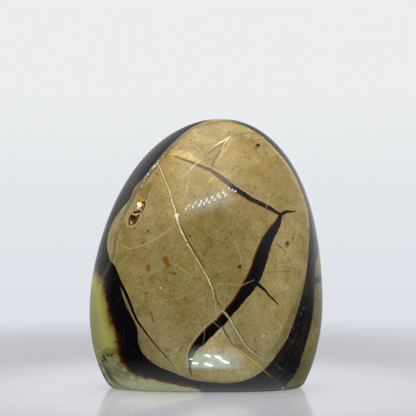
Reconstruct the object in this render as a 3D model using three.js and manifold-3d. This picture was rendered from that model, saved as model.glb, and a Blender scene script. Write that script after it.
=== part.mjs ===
// A septarian nodule, ground to a standing freeform and polished: one solid stone, domed in front, with a
// flat base that it stands on, a small open pocket high on its left shoulder, and the crust of calcite
// crystals that lines that pocket. Millimetres, +Z up, the front towards -Y. The origin is the middle of
// the stone's own box, on the plane that the base rests on.
import * as THREE from 'three';
import { mergeVertices } from 'three/addons/utils/BufferGeometryUtils.js';
import Module from 'manifold-3d';

const wasm = await Module();
wasm.setup();

// ---------------------------------------------------------------- driving sizes
const HEIGHT = 100; // base to crown
const WIDTH = 86; // left to right, at the widest level
const DEPTH = 52; // front to back, at the deepest level
const SQUARENESS = 0.055; // how far a level slice bulges past an ellipse between its four ends
const GAP = 0.3; // clearance between the stone and its crystal crust

const COLUMNS = 72; // facets round the stone
const ROWS = 40; // facets from the crown to the middle of the base

// Levels from the base up. Rise is a share of HEIGHT, left and right of WIDTH, front and back of DEPTH.
// They are the control points of a smooth spline, so the skin passes just inside them.
const LEVELS = [
  { rise: 0, left: -0.395, right: 0.4, front: -0.288, back: 0.288 }, // rim of the flat base
  { rise: 0.005, left: -0.416, right: 0.421, front: -0.338, back: 0.327 },
  { rise: 0.05, left: -0.448, right: 0.448, front: -0.415, back: 0.385 },
  { rise: 0.14, left: -0.486, right: 0.484, front: -0.485, back: 0.45 },
  { rise: 0.27, left: -0.506, right: 0.509, front: -0.525, back: 0.485 }, // widest and deepest
  { rise: 0.41, left: -0.493, right: 0.505, front: -0.519, back: 0.485 },
  { rise: 0.55, left: -0.456, right: 0.49, front: -0.469, back: 0.454 },
  { rise: 0.69, left: -0.398, right: 0.456, front: -0.383, back: 0.4 },
  { rise: 0.82, left: -0.309, right: 0.393, front: -0.269, back: 0.323 },
  { rise: 0.92, left: -0.201, right: 0.305, front: -0.15, back: 0.235 },
  { rise: 0.986, left: -0.067, right: 0.193, front: -0.038, back: 0.138 },
  { rise: 1.007, left: 0.064, right: 0.064, front: 0.05, back: 0.05 }, // crown, right of the middle
];

// The open pocket: two lobes cut into the face, the upper a slot and the lower a round hole. x and z are
// where a lobe's middle lies, seen from the front; the other sizes are its whole length, width and depth.
const POCKET_LEAN = new THREE.Vector3(0.453, 0.156, 0.878); // the line that both lobes follow
const LOBES = [
  { x: -23.4, z: 65.5, length: 5.8, width: 3.0, depth: 3.4 },
  { x: -25.9, z: 62.0, length: 6.4, width: 4.4, depth: 3.8 },
];
const LINING = 0.7; // thickness of the crust between the crystals
const CRYSTALS = 26;
const CRYSTAL_WIDTH = 1.1;
const CRYSTAL_LENGTH = 2.2;

// Small open pits in the polished face.
const PITS = [
  { x: 18.9, z: 88.9, width: 1.7 },
  { x: 28.6, z: 52.7, width: 1.5 },
  { x: 11.6, z: 44.8, width: 1.1 },
  { x: -11.7, z: 42.6, width: 1.0 },
];

// ---------------------------------------------------------------- solids
function solidOf(geometry) {
  const bare = geometry.clone();
  bare.deleteAttribute('normal');
  bare.deleteAttribute('uv');
  const merged = mergeVertices(bare, 1e-4);
  return new wasm.Manifold(new wasm.Mesh({
    numProp: 3,
    vertProperties: new Float32Array(merged.attributes.position.array),
    triVerts: new Uint32Array(merged.index.array),
  }));
}

function geometryOf(solid) {
  const mesh = solid.getMesh();
  const geometry = new THREE.BufferGeometry();
  geometry.setAttribute('position', new THREE.BufferAttribute(mesh.vertProperties, 3));
  geometry.setIndex(new THREE.BufferAttribute(mesh.triVerts, 1));
  geometry.computeVertexNormals();
  return geometry;
}

// ---------------------------------------------------------------- the stone's skin
// One step of a uniform cubic B-spline through a, b, c and d, at u from 0 to 1.
function blend(a, b, c, d, u) {
  const v = 1 - u;
  const nearer = 3 * u ** 3 - 6 * u ** 2 + 4;
  const further = 3 * v ** 3 - 6 * v ** 2 + 4;
  return (v ** 3 * a + nearer * b + further * c + u ** 3 * d) / 6;
}

// The level at a place along the spline, from 0 at the base's rim to LEVELS.length - 1 at the crown. Past
// the crown the outline comes down on the other side, which rounds the top off.
function levelAt(place) {
  const last = LEVELS.length - 1;
  const start = Math.min(Math.floor(place), last - 1);
  const beforeFirst = (key) => 2 * LEVELS[0][key] - LEVELS[1][key];
  const opposite = { rise: 'rise', left: 'right', right: 'left', front: 'back', back: 'front' };
  const control = (index, key) => {
    if (index < 0) return beforeFirst(key);
    if (index > last) return LEVELS[last - 1][opposite[key]];
    return LEVELS[index][key];
  };
  const value = (key) => blend(...[-1, 0, 1, 2].map((step) => control(start + step, key)), place - start);
  return Object.fromEntries(Object.keys(opposite).map((key) => [key, value(key)]));
}

// The skin's point at a level and an angle round the stone, in shares of the driving sizes.
function skinPoint(level, angle) {
  const swell = 1 + SQUARENESS * (1 - Math.cos(4 * angle)) / 2;
  const x = (level.left + level.right) / 2 + (level.right - level.left) / 2 * Math.cos(angle) * swell;
  const y = (level.front + level.back) / 2 + (level.back - level.front) / 2 * Math.sin(angle) * swell;
  return new THREE.Vector3(x, y, level.rise);
}

// A sphere's grid of facets, laid on the skin: its first row is the crown, its last but one is the rim of
// the base, and its last is the middle of the base.
function stoneGeometry() {
  const geometry = new THREE.SphereGeometry(1, COLUMNS, ROWS);
  const rimRow = ROWS - 1;
  for (let row = 0; row <= ROWS; row += 1) {
    const level = levelAt((LEVELS.length - 1) * (1 - Math.min(row, rimRow) / rimRow));
    for (let column = 0; column <= COLUMNS; column += 1) {
      const angle = Math.PI + 2 * Math.PI * (column % COLUMNS) / COLUMNS;
      const point = skinPoint(level, angle);
      if (row === ROWS) point.set((level.left + level.right) / 2, (level.front + level.back) / 2, 0);
      if (row === 0) point.set(level.left, level.front, level.rise);
      geometry.attributes.position.setXYZ(row * (COLUMNS + 1) + column, point.x, point.y, point.z);
    }
  }
  geometry.computeBoundingBox();
  const middle = geometry.boundingBox.getCenter(new THREE.Vector3());
  const span = geometry.boundingBox.getSize(new THREE.Vector3());
  geometry.translate(-middle.x, -middle.y, 0);
  geometry.scale(WIDTH / span.x, DEPTH / span.y, HEIGHT / span.z);
  return geometry;
}

const blank = new THREE.Mesh(stoneGeometry(), new THREE.MeshStandardMaterial({ side: THREE.DoubleSide }));

// The point of the front face at x and z, and the way out of the stone there.
function onFace(x, z) {
  const ray = new THREE.Raycaster(new THREE.Vector3(x, -DEPTH, z), new THREE.Vector3(0, 1, 0));
  const hit = ray.intersectObject(blank)[0];
  return { point: hit.point, outward: hit.face.normal.clone() };
}

// ---------------------------------------------------------------- pocket, pits and crystals
// A frame on the face: x across the pocket, y out of the stone, z along the pocket.
function pocketFrame(lobe) {
  const { point, outward } = onFace(lobe.x, lobe.z);
  const along = POCKET_LEAN.clone().addScaledVector(outward, -POCKET_LEAN.dot(outward)).normalize();
  const across = new THREE.Vector3().crossVectors(outward, along);
  return new THREE.Matrix4().makeBasis(across, outward, along).setPosition(point);
}

// A lobe's hollow as an ellipsoid round a point of the face, smaller all round by inset.
function lobeSolid(lobe, inset) {
  const ellipsoid = new THREE.SphereGeometry(1, 20, 12);
  ellipsoid.scale(lobe.width / 2 - inset, lobe.depth - inset, lobe.length / 2 - inset);
  ellipsoid.applyMatrix4(pocketFrame(lobe));
  return solidOf(ellipsoid);
}

function pocketSolid(inset) {
  return lobeSolid(LOBES[0], inset).add(lobeSolid(LOBES[1], inset));
}

function pitSolid(pit) {
  const ball = new THREE.SphereGeometry(pit.width / 2, 10, 6);
  const { point } = onFace(pit.x, pit.z);
  ball.translate(point.x, point.y, point.z);
  return solidOf(ball);
}

// A six-sided dogtooth crystal that grows from a lobe's wall towards its mouth.
function crystalSolid(index) {
  const lobe = LOBES[index % LOBES.length];
  const turn = index * 2.399; // the golden angle, which never lines two crystals up
  const spread = Math.sqrt((index + 0.5) / CRYSTALS);
  const size = 0.75 + 0.5 * ((index * 0.618) % 1);
  const root = new THREE.Vector3(
    Math.cos(turn) * spread * (lobe.width / 2 - GAP),
    -Math.sqrt(1 - 0.8 * spread ** 2) * (lobe.depth - GAP),
    Math.sin(turn) * spread * (lobe.length / 2 - GAP),
  );
  const growth = new THREE.Vector3(-0.5 * root.x, 1.4, -0.25 * root.z).normalize();
  const crystal = new THREE.ConeGeometry(size * CRYSTAL_WIDTH / 2, size * CRYSTAL_LENGTH, 6);
  crystal.rotateY(turn);
  crystal.applyQuaternion(new THREE.Quaternion().setFromUnitVectors(new THREE.Vector3(0, 1, 0), growth));
  crystal.translate(...root.addScaledVector(growth, 0.3 * CRYSTAL_LENGTH));
  crystal.applyMatrix4(pocketFrame(lobe));
  return solidOf(crystal);
}

function noduleSolid() {
  let stone = solidOf(blank.geometry).subtract(pocketSolid(0));
  for (const pit of PITS) stone = stone.subtract(pitSolid(pit));
  return stone;
}

// The crust lines the pocket a gap inside its wall and stays a gap below the polished face.
function crustSolid() {
  let crust = pocketSolid(GAP).subtract(pocketSolid(GAP + LINING));
  for (let index = 0; index < CRYSTALS; index += 1) crust = crust.add(crystalSolid(index));
  const { outward } = onFace(LOBES[0].x, LOBES[0].z);
  const sunk = solidOf(blank.geometry).translate(outward.multiplyScalar(-2 * GAP).toArray());
  return crust.intersect(pocketSolid(GAP)).intersect(sunk);
}

// ---------------------------------------------------------------- the part
const mudstone = new THREE.MeshStandardMaterial({ color: 0x9c8a5c, roughness: 0.12, metalness: 0 });
const honeyCalcite = new THREE.MeshStandardMaterial({ color: 0xb5782c, roughness: 0.2, metalness: 0 });

const nodule = new THREE.Mesh(geometryOf(noduleSolid()), mudstone);
nodule.name = 'nodule';

const crystals = new THREE.Mesh(geometryOf(crustSolid()), honeyCalcite);
crystals.name = 'vug_crystals';

const septarian = new THREE.Group();
septarian.add(nodule, crystals);

export default septarian;
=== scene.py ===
# %% [markdown]
# # A polished septarian nodule
# A septarian nodule is a ball of hardened mud that shrank and cracked on the sea bed. Dark calcite lined
# the cracks and yellow calcite filled what was left. This one has been ground to a standing freeform, domed
# in front and flat underneath, and polished all over. Every length below is in millimetres until it reaches
# Blender, which works in metres. The frame that is loaded first holds the solid stone and its place.

import math
import random

import bmesh
import bpy
import numpy as np
from mathutils import Matrix, Quaternion, Vector
from mathutils.bvhtree import BVHTree


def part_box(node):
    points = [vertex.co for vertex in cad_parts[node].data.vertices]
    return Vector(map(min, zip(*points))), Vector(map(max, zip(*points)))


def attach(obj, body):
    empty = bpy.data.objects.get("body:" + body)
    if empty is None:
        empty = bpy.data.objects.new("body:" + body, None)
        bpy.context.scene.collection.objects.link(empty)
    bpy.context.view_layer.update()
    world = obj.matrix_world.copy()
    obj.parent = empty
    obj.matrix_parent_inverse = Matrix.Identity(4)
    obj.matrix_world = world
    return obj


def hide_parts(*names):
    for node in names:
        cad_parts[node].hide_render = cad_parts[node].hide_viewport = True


MM = 0.001

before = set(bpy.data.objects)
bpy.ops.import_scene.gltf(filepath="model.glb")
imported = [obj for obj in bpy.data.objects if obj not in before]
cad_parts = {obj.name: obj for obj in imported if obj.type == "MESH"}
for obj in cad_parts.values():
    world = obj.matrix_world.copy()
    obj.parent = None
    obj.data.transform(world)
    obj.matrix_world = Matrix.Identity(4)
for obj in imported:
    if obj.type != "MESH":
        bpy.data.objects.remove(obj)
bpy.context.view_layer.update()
stone_low, stone_high = [np.array(corner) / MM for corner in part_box("nodule")]
print("the stone's box in millimetres:", stone_low.round(2), stone_high.round(2))

# %% [markdown]
# ## The camera
# The stone is looked at from a little above its base with a long lens, which keeps its outline almost the
# same as its true front elevation. The camera comes first, because the pattern on the front is placed by
# what it sees: a point of its square view, in pixels, becomes a line of sight, and the line of sight meets
# the stone. That puts each crack on the stone itself, so it stays in place when seen from any side.

# %% Camera
VIEW = 416  # pixels along each side of the camera's square view
SENSOR = 36
LENS = 88.2
NEAREST = 10  # nothing nearer to the camera than this is drawn
CAMERA_SPOT = Vector((0.7, -379, 50))
CAMERA_AIM = Vector((0.7, 1, 66.3))


def linked(name, data):
    """A new object in the scene that shows the data."""
    made = bpy.data.objects.new(name, data)
    bpy.context.scene.collection.objects.link(made)
    return made


def add_camera():
    data = bpy.data.cameras.new("camera")
    data.lens = LENS
    data.sensor_width = SENSOR
    data.clip_start = NEAREST * MM
    eye = linked("camera", data)
    eye.location = CAMERA_SPOT * MM
    eye.rotation_euler = (CAMERA_AIM - CAMERA_SPOT).to_track_quat("-Z", "Y").to_euler()
    bpy.context.scene.camera = eye
    return eye


camera = add_camera()


def sight_line(x, y):
    """The direction in which the camera sees pixel x, y of its view."""
    pixel = SENSOR / LENS / VIEW
    inside = Vector(((x - VIEW / 2) * pixel, (VIEW / 2 - y) * pixel, -1))
    return (camera.rotation_euler.to_matrix() @ inside).normalized()


print("the camera looks along", [round(part, 3) for part in sight_line(VIEW / 2, VIEW / 2)])

# %% [markdown]
# ## The skin
# A ground and polished freeform has no edges but the rim of its base, so its skin is one smooth loft.
# Twelve levels give how far it reaches to the left, right, front and back, a cubic B-spline runs through
# them from the base to the crown, and each level slice is an ellipse between its four ends that bulges a
# little at its corners. Sculpting or a subdivided cage would also do, but a loft follows the driving sizes
# exactly.

# %% Levels
LEVELS = np.array([  # rise, left, right, front and back, as shares of the height, width and depth
    (0, -0.395, 0.4, -0.288, 0.288),
    (0.005, -0.416, 0.421, -0.338, 0.327),
    (0.05, -0.448, 0.448, -0.415, 0.385),
    (0.14, -0.486, 0.484, -0.485, 0.45),
    (0.27, -0.506, 0.509, -0.525, 0.485),
    (0.41, -0.493, 0.505, -0.519, 0.485),
    (0.55, -0.456, 0.49, -0.469, 0.454),
    (0.69, -0.398, 0.456, -0.383, 0.4),
    (0.82, -0.309, 0.393, -0.269, 0.323),
    (0.92, -0.201, 0.305, -0.15, 0.235),
    (0.986, -0.067, 0.193, -0.038, 0.138),
    (1.007, 0.064, 0.064, 0.05, 0.05),
])
CROWN = len(LEVELS) - 1
SWAPPED_ENDS = [0, 2, 1, 4, 3]  # past the crown, left and right change places, and so do front and back


def levels_at(places):
    """Rise, left, right, front and back at places along the spline, from 0 at the rim to CROWN."""
    before_first = 2 * LEVELS[0] - LEVELS[1]
    past_crown = LEVELS[-2][SWAPPED_ENDS]
    controls = np.vstack([before_first, LEVELS, past_crown])
    start = np.minimum(places.astype(int), CROWN - 1)
    u = (places - start)[:, None]
    v = 1 - u
    weights = (v**3, 3 * u**3 - 6 * u**2 + 4, 3 * v**3 - 6 * v**2 + 4, u**3)
    return sum(weight * controls[start + step] for step, weight in enumerate(weights)) / 6


print("the skin runs through", len(LEVELS), "levels")

# %% Skin
SQUARENESS = 0.055  # how far a level slice bulges past an ellipse between its four ends
LEVEL_PROBES = 600  # places and angles at which the skin's furthest reach is looked for
ANGLE_PROBES = 720


def skin_shares(places, angles):
    """A grid of skin points, one row to a place and one column to an angle, in shares of the sizes."""
    rise, left, right, front, back = levels_at(places).T[:, :, None]
    swell = 1 + SQUARENESS * (1 - np.cos(4 * angles)) / 2
    x = (left + right) / 2 + (right - left) / 2 * np.cos(angles) * swell
    y = (front + back) / 2 + (back - front) / 2 * np.sin(angles) * swell
    return np.stack([x, y, np.broadcast_to(rise, x.shape)], axis=-1)


probe = skin_shares(np.linspace(0, CROWN, LEVEL_PROBES), np.linspace(0, math.tau, ANGLE_PROBES))
share_low = probe.min(axis=(0, 1))
share_high = probe.max(axis=(0, 1))


def on_skin(places, angles):
    """The same grid in millimetres, fitted into the solid stone's own box."""
    shares = (skin_shares(places, angles) - share_low) / (share_high - share_low)
    return stone_low + shares * (stone_high - stone_low)


print("shares reach from", share_low.round(3), "to", share_high.round(3))

# %% [markdown]
# ## The stone's mesh
# The pattern is carried by numbers stored at the mesh's points, so the grid has to be finer than the finest
# bend of a crack: about half a millimetre on the front. Rows are spaced evenly along the front's profile,
# and the columns crowd together a little at the front and the back, where the stone is flattest and widest.

# %% Mesh of the stone
COLUMNS = 440
ROWS = 196
BASE_RINGS = 16
FRONT = 1.5 * math.pi  # the angle round the stone at the middle of its front
FRONT_CROWDING = 0.15
FLAT_CROWDING = 0.1
PROFILE_STEPS = 4000


def even_places(count):
    """Places along the spline that lie evenly spaced on the front's profile."""
    fine = np.linspace(0, CROWN, PROFILE_STEPS)
    profile = on_skin(fine, np.array([FRONT]))[:, 0]
    run = np.concatenate([[0], np.cumsum(np.linalg.norm(np.diff(profile, axis=0), axis=1))])
    return np.interp(np.linspace(0, run[-1], count + 1), run, fine)


def shell_points():
    """Points of the closed skin in millimetres: rings from the rim up, the crown, then the flat base."""
    turn = np.linspace(0, math.tau, COLUMNS, endpoint=False)
    angles = turn - FRONT_CROWDING * np.cos(turn) + FLAT_CROWDING * np.sin(2 * turn)
    side = on_skin(even_places(ROWS), angles)
    crown = side[-1].mean(axis=0)
    rim = side[0]
    middle = rim.mean(axis=0)
    rings = [middle + (rim - middle) * (1 - ring / BASE_RINGS) for ring in range(1, BASE_RINGS)]
    return np.vstack([side[:-1].reshape(-1, 3), crown, np.vstack(rings), middle])


def shell_faces(count):
    """Faces between the rings of a skin with this many points, turned outwards."""
    here = np.arange(COLUMNS)
    following = np.roll(here, -1)
    faces = []
    for row in range(ROWS - 1):
        low, high = row * COLUMNS, (row + 1) * COLUMNS
        faces += np.stack([low + here, low + following, high + following, high + here], axis=1).tolist()
    last, top = (ROWS - 1) * COLUMNS, ROWS * COLUMNS
    faces += np.stack([last + here, last + following, np.full(COLUMNS, top)], axis=1).tolist()
    starts = [0] + [top + 1 + ring * COLUMNS for ring in range(BASE_RINGS - 1)]
    for outer, inner in zip(starts, starts[1:]):
        faces += np.stack([outer + following, outer + here, inner + here, inner + following], axis=1).tolist()
    final = starts[-1]
    faces += np.stack([final + following, final + here, np.full(COLUMNS, count - 1)], axis=1).tolist()
    return faces


def add_mesh(name, points, faces):
    """A new object from points in millimetres."""
    mesh = bpy.data.meshes.new(name)
    mesh.from_pydata((np.asarray(points) * MM).tolist(), [], faces)
    mesh.validate()
    return linked(name, mesh)


skin_points = shell_points()
skin_faces = shell_faces(len(skin_points))
skin_tree = BVHTree.FromPolygons(skin_points.tolist(), skin_faces)
stone = add_mesh("stone", skin_points, skin_faces)
print("the stone's shell has", len(skin_points), "points and", len(skin_faces), "faces")

# %% [markdown]
# ## The open pocket and the pits
# Where calcite did not fill a crack, a hollow is left: here a slot that runs into a round hole, high on the
# left shoulder. Four tiny pits in the polish are air holes of the same kind. They are real openings, so
# they are cut out of the mesh, with ellipsoids centred on the skin.

# %% Pocket and pits
POCKET_LEAN = Vector((0.453, 0.156, 0.878))  # the line that both lobes follow
LOBES = [
    {"x": -23.4, "z": 65.5, "length": 5.8, "width": 3.0, "depth": 3.4},  # the slot
    {"x": -25.9, "z": 62.0, "length": 6.4, "width": 4.4, "depth": 3.8},  # the round hole below it
]
PITS = [
    {"x": 18.9, "z": 88.9, "width": 1.7},
    {"x": 28.6, "z": 52.7, "width": 1.5},
    {"x": 11.6, "z": 44.8, "width": 1.1},
    {"x": -11.7, "z": 42.6, "width": 1.0},
]
OUT_FRONT = -200  # rays towards the front start this far out


def on_front(x, z):
    """The point of the front at x and z, and the way out of the stone there."""
    point, outward, _, _ = skin_tree.ray_cast(Vector((x, OUT_FRONT, z)), Vector((0, 1, 0)))
    return point, outward


def pocket_frame(lobe):
    point, outward = on_front(lobe["x"], lobe["z"])
    along = (POCKET_LEAN - POCKET_LEAN.dot(outward) * outward).normalized()
    across = outward.cross(along)
    turned = Matrix((across, outward, along)).transposed().to_4x4()
    return Matrix.Translation(point) @ turned


def lobe_axes(lobe, inset=0):
    return Vector((lobe["width"] / 2 - inset, lobe["depth"] - inset, lobe["length"] / 2 - inset))


print("the pocket opens at", [round(part, 1) for part in pocket_frame(LOBES[0]).translation])

# %% Cuts
LOBE_FINENESS = 4
PIT_FINENESS = 2
FACET_ANGLE = math.radians(35)


def ball(place, axes, fineness):
    """An ellipsoid with its own frame, in millimetres, as a bmesh."""
    made = bmesh.new()
    bmesh.ops.create_icosphere(made, subdivisions=fineness, radius=1)
    bmesh.ops.transform(made, matrix=place @ Matrix.Diagonal((*axes, 1)), verts=made.verts)
    return made


def take_out(piece, cutter):
    """Cuts a bmesh of millimetres out of a piece."""
    bmesh.ops.scale(cutter, vec=(MM, MM, MM), verts=cutter.verts)
    mesh = bpy.data.meshes.new("cutter")
    cutter.to_mesh(mesh)
    cutter.free()
    tool = linked("cutter", mesh)
    cut = piece.modifiers.new("cut", "BOOLEAN")
    cut.object = tool
    cut.operation = "DIFFERENCE"
    cut.solver = "EXACT"
    result = bpy.data.meshes.new_from_object(piece.evaluated_get(bpy.context.evaluated_depsgraph_get()))
    piece.modifiers.clear()
    piece.data = result
    bpy.data.objects.remove(tool)


for lobe in LOBES:
    take_out(stone, ball(pocket_frame(lobe), lobe_axes(lobe), LOBE_FINENESS))
for pit in PITS:
    centre, _ = on_front(pit["x"], pit["z"])
    take_out(stone, ball(Matrix.Translation(centre), Vector((1, 1, 1)) * pit["width"] / 2, PIT_FINENESS))
stone.data.shade_smooth()
stone.data.set_sharp_from_angle(angle=FACET_ANGLE)
print("after the cuts the stone has", len(stone.data.polygons), "faces")

# %% [markdown]
# ## Tracing lines on the stone
# A crack is a curve that lies on the skin. Its points are given either as the camera sees them or, for the
# sides and the back, by an angle round the stone and a height. A smooth curve is drawn through them and
# pulled onto the skin.

# %% Points on the skin
HEIGHT_STEPS = 2000

height_places = np.linspace(0, CROWN, HEIGHT_STEPS)
heights = on_skin(height_places, np.array([0.0]))[:, 0, 2]


def seen(*pixels):
    """Points of the skin that the camera sees at these pixels of its view."""
    points = []
    for x, y in pixels:
        hit = skin_tree.ray_cast(CAMERA_SPOT, sight_line(x, y))[0]
        if hit is None:
            raise ValueError(f"the line of sight {x}, {y} misses the stone")
        points.append(tuple(hit))
    return points


def around(*places):
    """Points of the skin at degrees round the stone, from +X towards the back, and heights."""
    points = []
    for degrees, height in places:
        place = np.interp([height], heights, height_places)
        points.append(tuple(on_skin(place, np.array([math.radians(degrees)]))[0, 0]))
    return points


def under(*places):
    """Points of the flat base at x, y."""
    return [(x, y, 0) for x, y in places]


print("heights run from", heights[0].round(2), "to", heights[-1].round(2))

# %% Curves on the skin
CURVE_STEP = 0.5


def neighbours(points, leg, closed):
    """The point before a leg of the curve, the leg's two ends, and the point after it."""
    count = len(points)
    places = [leg + shift for shift in (-1, 0, 1, 2)]
    if closed:
        return [points[place % count] for place in places]
    return [points[min(max(place, 0), count - 1)] for place in places]


def drawn(points, closed=False, step=CURVE_STEP):
    """A smooth curve through the points, on the skin: its points, the ways out there, and which given point
    each lies at, as a number with a share."""
    points = np.array(points, dtype=float)
    last = len(points) - 1
    path, marks = [], []
    for leg in range(last + 1 if closed else last):
        a, b, c, d = neighbours(points, leg, closed)
        pieces = max(1, math.ceil(np.linalg.norm(c - b) / step))
        for t in np.arange(pieces) / pieces:
            bend = 2 * b + (c - a) * t + (2 * a - 5 * b + 4 * c - d) * t**2 + (3 * b - a - 3 * c + d) * t**3
            path.append(bend / 2)
            marks.append(leg + t)
    if not closed:
        path.append(points[-1])
        marks.append(last)
    found = [skin_tree.find_nearest(Vector(point)) for point in path]
    return np.array([hit[0] for hit in found]), np.array([hit[1] for hit in found]), np.array(marks)


print("curves are drawn in steps of", CURVE_STEP, "mm")

# %% [markdown]
# ## Measuring from a curve
# For every mesh point near a curve, the curve is measured: how far the point lies to one side of it, with a
# sign, and how wide the crack is there. A signed distance changes evenly from point to point, so the
# renderer can fill it in between them, and a line thinner than the mesh still comes out sharp. A painted
# texture would blur close up.

# %% Measuring
CHUNK = 3000  # mesh points measured at a time
TINY = 1e-9  # keeps a division by a length from failing

mesh_points = np.empty(len(stone.data.vertices) * 3, dtype=np.float32)
stone.data.vertices.foreach_get("co", mesh_points)
mesh_points = mesh_points.reshape(-1, 3).astype(float) / MM
mesh_normals = np.array([skin_tree.find_nearest(point)[1] for point in mesh_points])


def unit(vectors):
    return vectors / np.maximum(np.linalg.norm(vectors, axis=-1, keepdims=True), TINY)


def nearest_legs(starts, runs, points):
    """For each point, the nearest leg of a path and the share of that leg at which it is nearest."""
    squares = np.maximum((runs**2).sum(axis=1), TINY)
    leg = np.empty(len(points), dtype=int)
    share = np.empty(len(points))
    for first in range(0, len(points), CHUNK):
        chunk = slice(first, first + CHUNK)
        offsets = points[chunk, None] - starts
        along = np.clip((offsets * runs).sum(axis=2) / squares, 0, 1)
        gaps = ((offsets - along[..., None] * runs)**2).sum(axis=2)
        leg[chunk] = gaps.argmin(axis=1)
        share[chunk] = along[np.arange(len(gaps)), leg[chunk]]
    return leg, share


def measured(path, outward, marks, points, closed=False):
    """For each point: how far left of the path, how far past an end, the mark, and the way out."""
    following = np.roll(path, -1, axis=0)
    runs = following - path
    if closed:
        tangents = unit(following - np.roll(path, 1, axis=0))
    else:
        runs = runs[:-1]
        tangents = unit(np.gradient(path, axis=0))
    starts = path[:len(runs)]
    leg, share = nearest_legs(starts, runs, points)
    end = (leg + 1) % len(path)
    part = share[:, None]
    closest = starts[leg] + part * runs[leg]
    tangent = unit(tangents[leg] * (1 - part) + tangents[end] * part)
    way_out = unit(outward[leg] * (1 - part) + outward[end] * part)
    offset = points - closest
    beyond = np.zeros(len(points))
    mark = marks[leg]
    if not closed:
        at_start = (leg == 0) & (share <= 0)
        at_end = (leg == len(runs) - 1) & (share >= 1)
        forward = (offset * tangent).sum(axis=1)
        beyond = np.where(at_start, -forward, np.where(at_end, forward, 0)).clip(0)
        mark = mark * (1 - share) + marks[end] * share
    sideways = (offset * np.cross(way_out, tangent)).sum(axis=1)
    distance = np.sqrt(np.maximum((offset**2).sum(axis=1) - beyond**2, 0))
    return np.where(sideways < 0, -distance, distance), beyond, mark, way_out


print("curves are measured from", len(mesh_points), "mesh points")

# %% [markdown]
# ## Storing the pattern
# Two kinds of number are stored. A region, such as a block of mudstone, keeps one number at each point: how
# far inside its outline the point lies. A line, such as a vein, keeps three: how far to its left the point
# lies, half its width there, and how strong it is there. Lines that stay clear of each other share one set
# of three.

# %% Regions
REACH = 14.0  # a region is measured this far to each side of its outline
OUTLINE_STEP = 0.9
TURNED_AWAY = -0.35  # a mesh point that faces this much against the outline's own skin lies outside


def store(name, values):
    kind, key = ("FLOAT", "value") if values.ndim == 1 else ("FLOAT_VECTOR", "vector")
    stone.data.attributes.new(name, kind, "POINT").data.foreach_set(key, values.astype(np.float32).ravel())


def inside_outline(points, within):
    """How far each mesh point lies inside a closed outline, below zero outside. within is a point inside."""
    path, outward, marks = drawn(points, closed=True, step=OUTLINE_STEP)
    distance, _, _, way_out = measured(path, outward, marks, mesh_points, closed=True)
    sample = measured(path, outward, marks, np.array([within], dtype=float), closed=True)[0][0]
    distance *= np.sign(sample)
    turned_away = (mesh_normals * way_out).sum(axis=1) < TURNED_AWAY
    return np.where(turned_away, -REACH, distance).clip(-REACH, REACH)


def covered(values):
    """The percentage of the mesh points that lie inside."""
    return round(100 * float((values > 0).mean()), 1)


print("regions are measured up to", REACH, "mm from their outlines")

# %% Lines
LINE_REACH = 1.3  # past half its width and this, a line is switched off
OFF = -5.0
NO_LINE = (9.0, OFF, 0.0)  # the three numbers where no line is near
END_TAPER = 0.5  # past its end, a line's half width shrinks by this share of the distance
SPARE = 0.5  # added to the box in which a line looks for mesh points


def spaced(values, count):
    """One value or several, spread evenly over a line's points."""
    values = np.atleast_1d(values)
    return np.interp(np.arange(count), np.linspace(0, count - 1, len(values)), values)


def line_field(*lines):
    """The three numbers of the strongest of several lines. A line is its points on the skin, their widths
    and their strengths, where one width or strength stands for all."""
    best = np.full(len(mesh_points), -np.inf)
    field = np.tile(NO_LINE, (len(mesh_points), 1))
    for points, widths, strengths in lines:
        path, outward, marks = drawn(points)
        half = spaced(widths, len(points)) / 2
        power = spaced(strengths, len(points))
        margin = half.max() + LINE_REACH + SPARE
        low, high = path.min(axis=0) - margin, path.max(axis=0) + margin
        near = np.flatnonzero(np.all((mesh_points > low) & (mesh_points < high), axis=1))
        across, beyond, mark, way_out = measured(path, outward, marks, mesh_points[near])
        half_here = np.interp(mark, np.arange(len(half)), half) - END_TAPER * beyond
        power_here = np.interp(mark, np.arange(len(power)), power)
        score = half_here - np.abs(across)
        score[(mesh_normals[near] * way_out).sum(axis=1) < 0] = -np.inf
        wins = score > best[near]
        winners = near[wins]
        best[winners] = score[wins]
        half_here = np.where(score < -LINE_REACH, OFF, half_here)
        field[winners] = np.stack([across, half_here, power_here], axis=1)[wins]
    return field


def store_lines(groups):
    """Stores a field for each named group of lines."""
    for name, lines in groups.items():
        store(name, line_field(*lines))
        print(name, "holds", len(lines), "lines")


print("a line is switched off", LINE_REACH, "mm past its edge")

# %% [markdown]
# ## Blocks of mudstone and the yellow calcite
# Seen from the front, one great block of tan mudstone fills the dome. A ring of dark calcite surrounds it,
# and outside the ring lie the next blocks: one round the right side and the back, one at the back left.
# Where the crack between two blocks was wide, at the lower left and down the middle of the back, yellow
# calcite fills it. What is in no block and not yellow is dark calcite.

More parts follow.
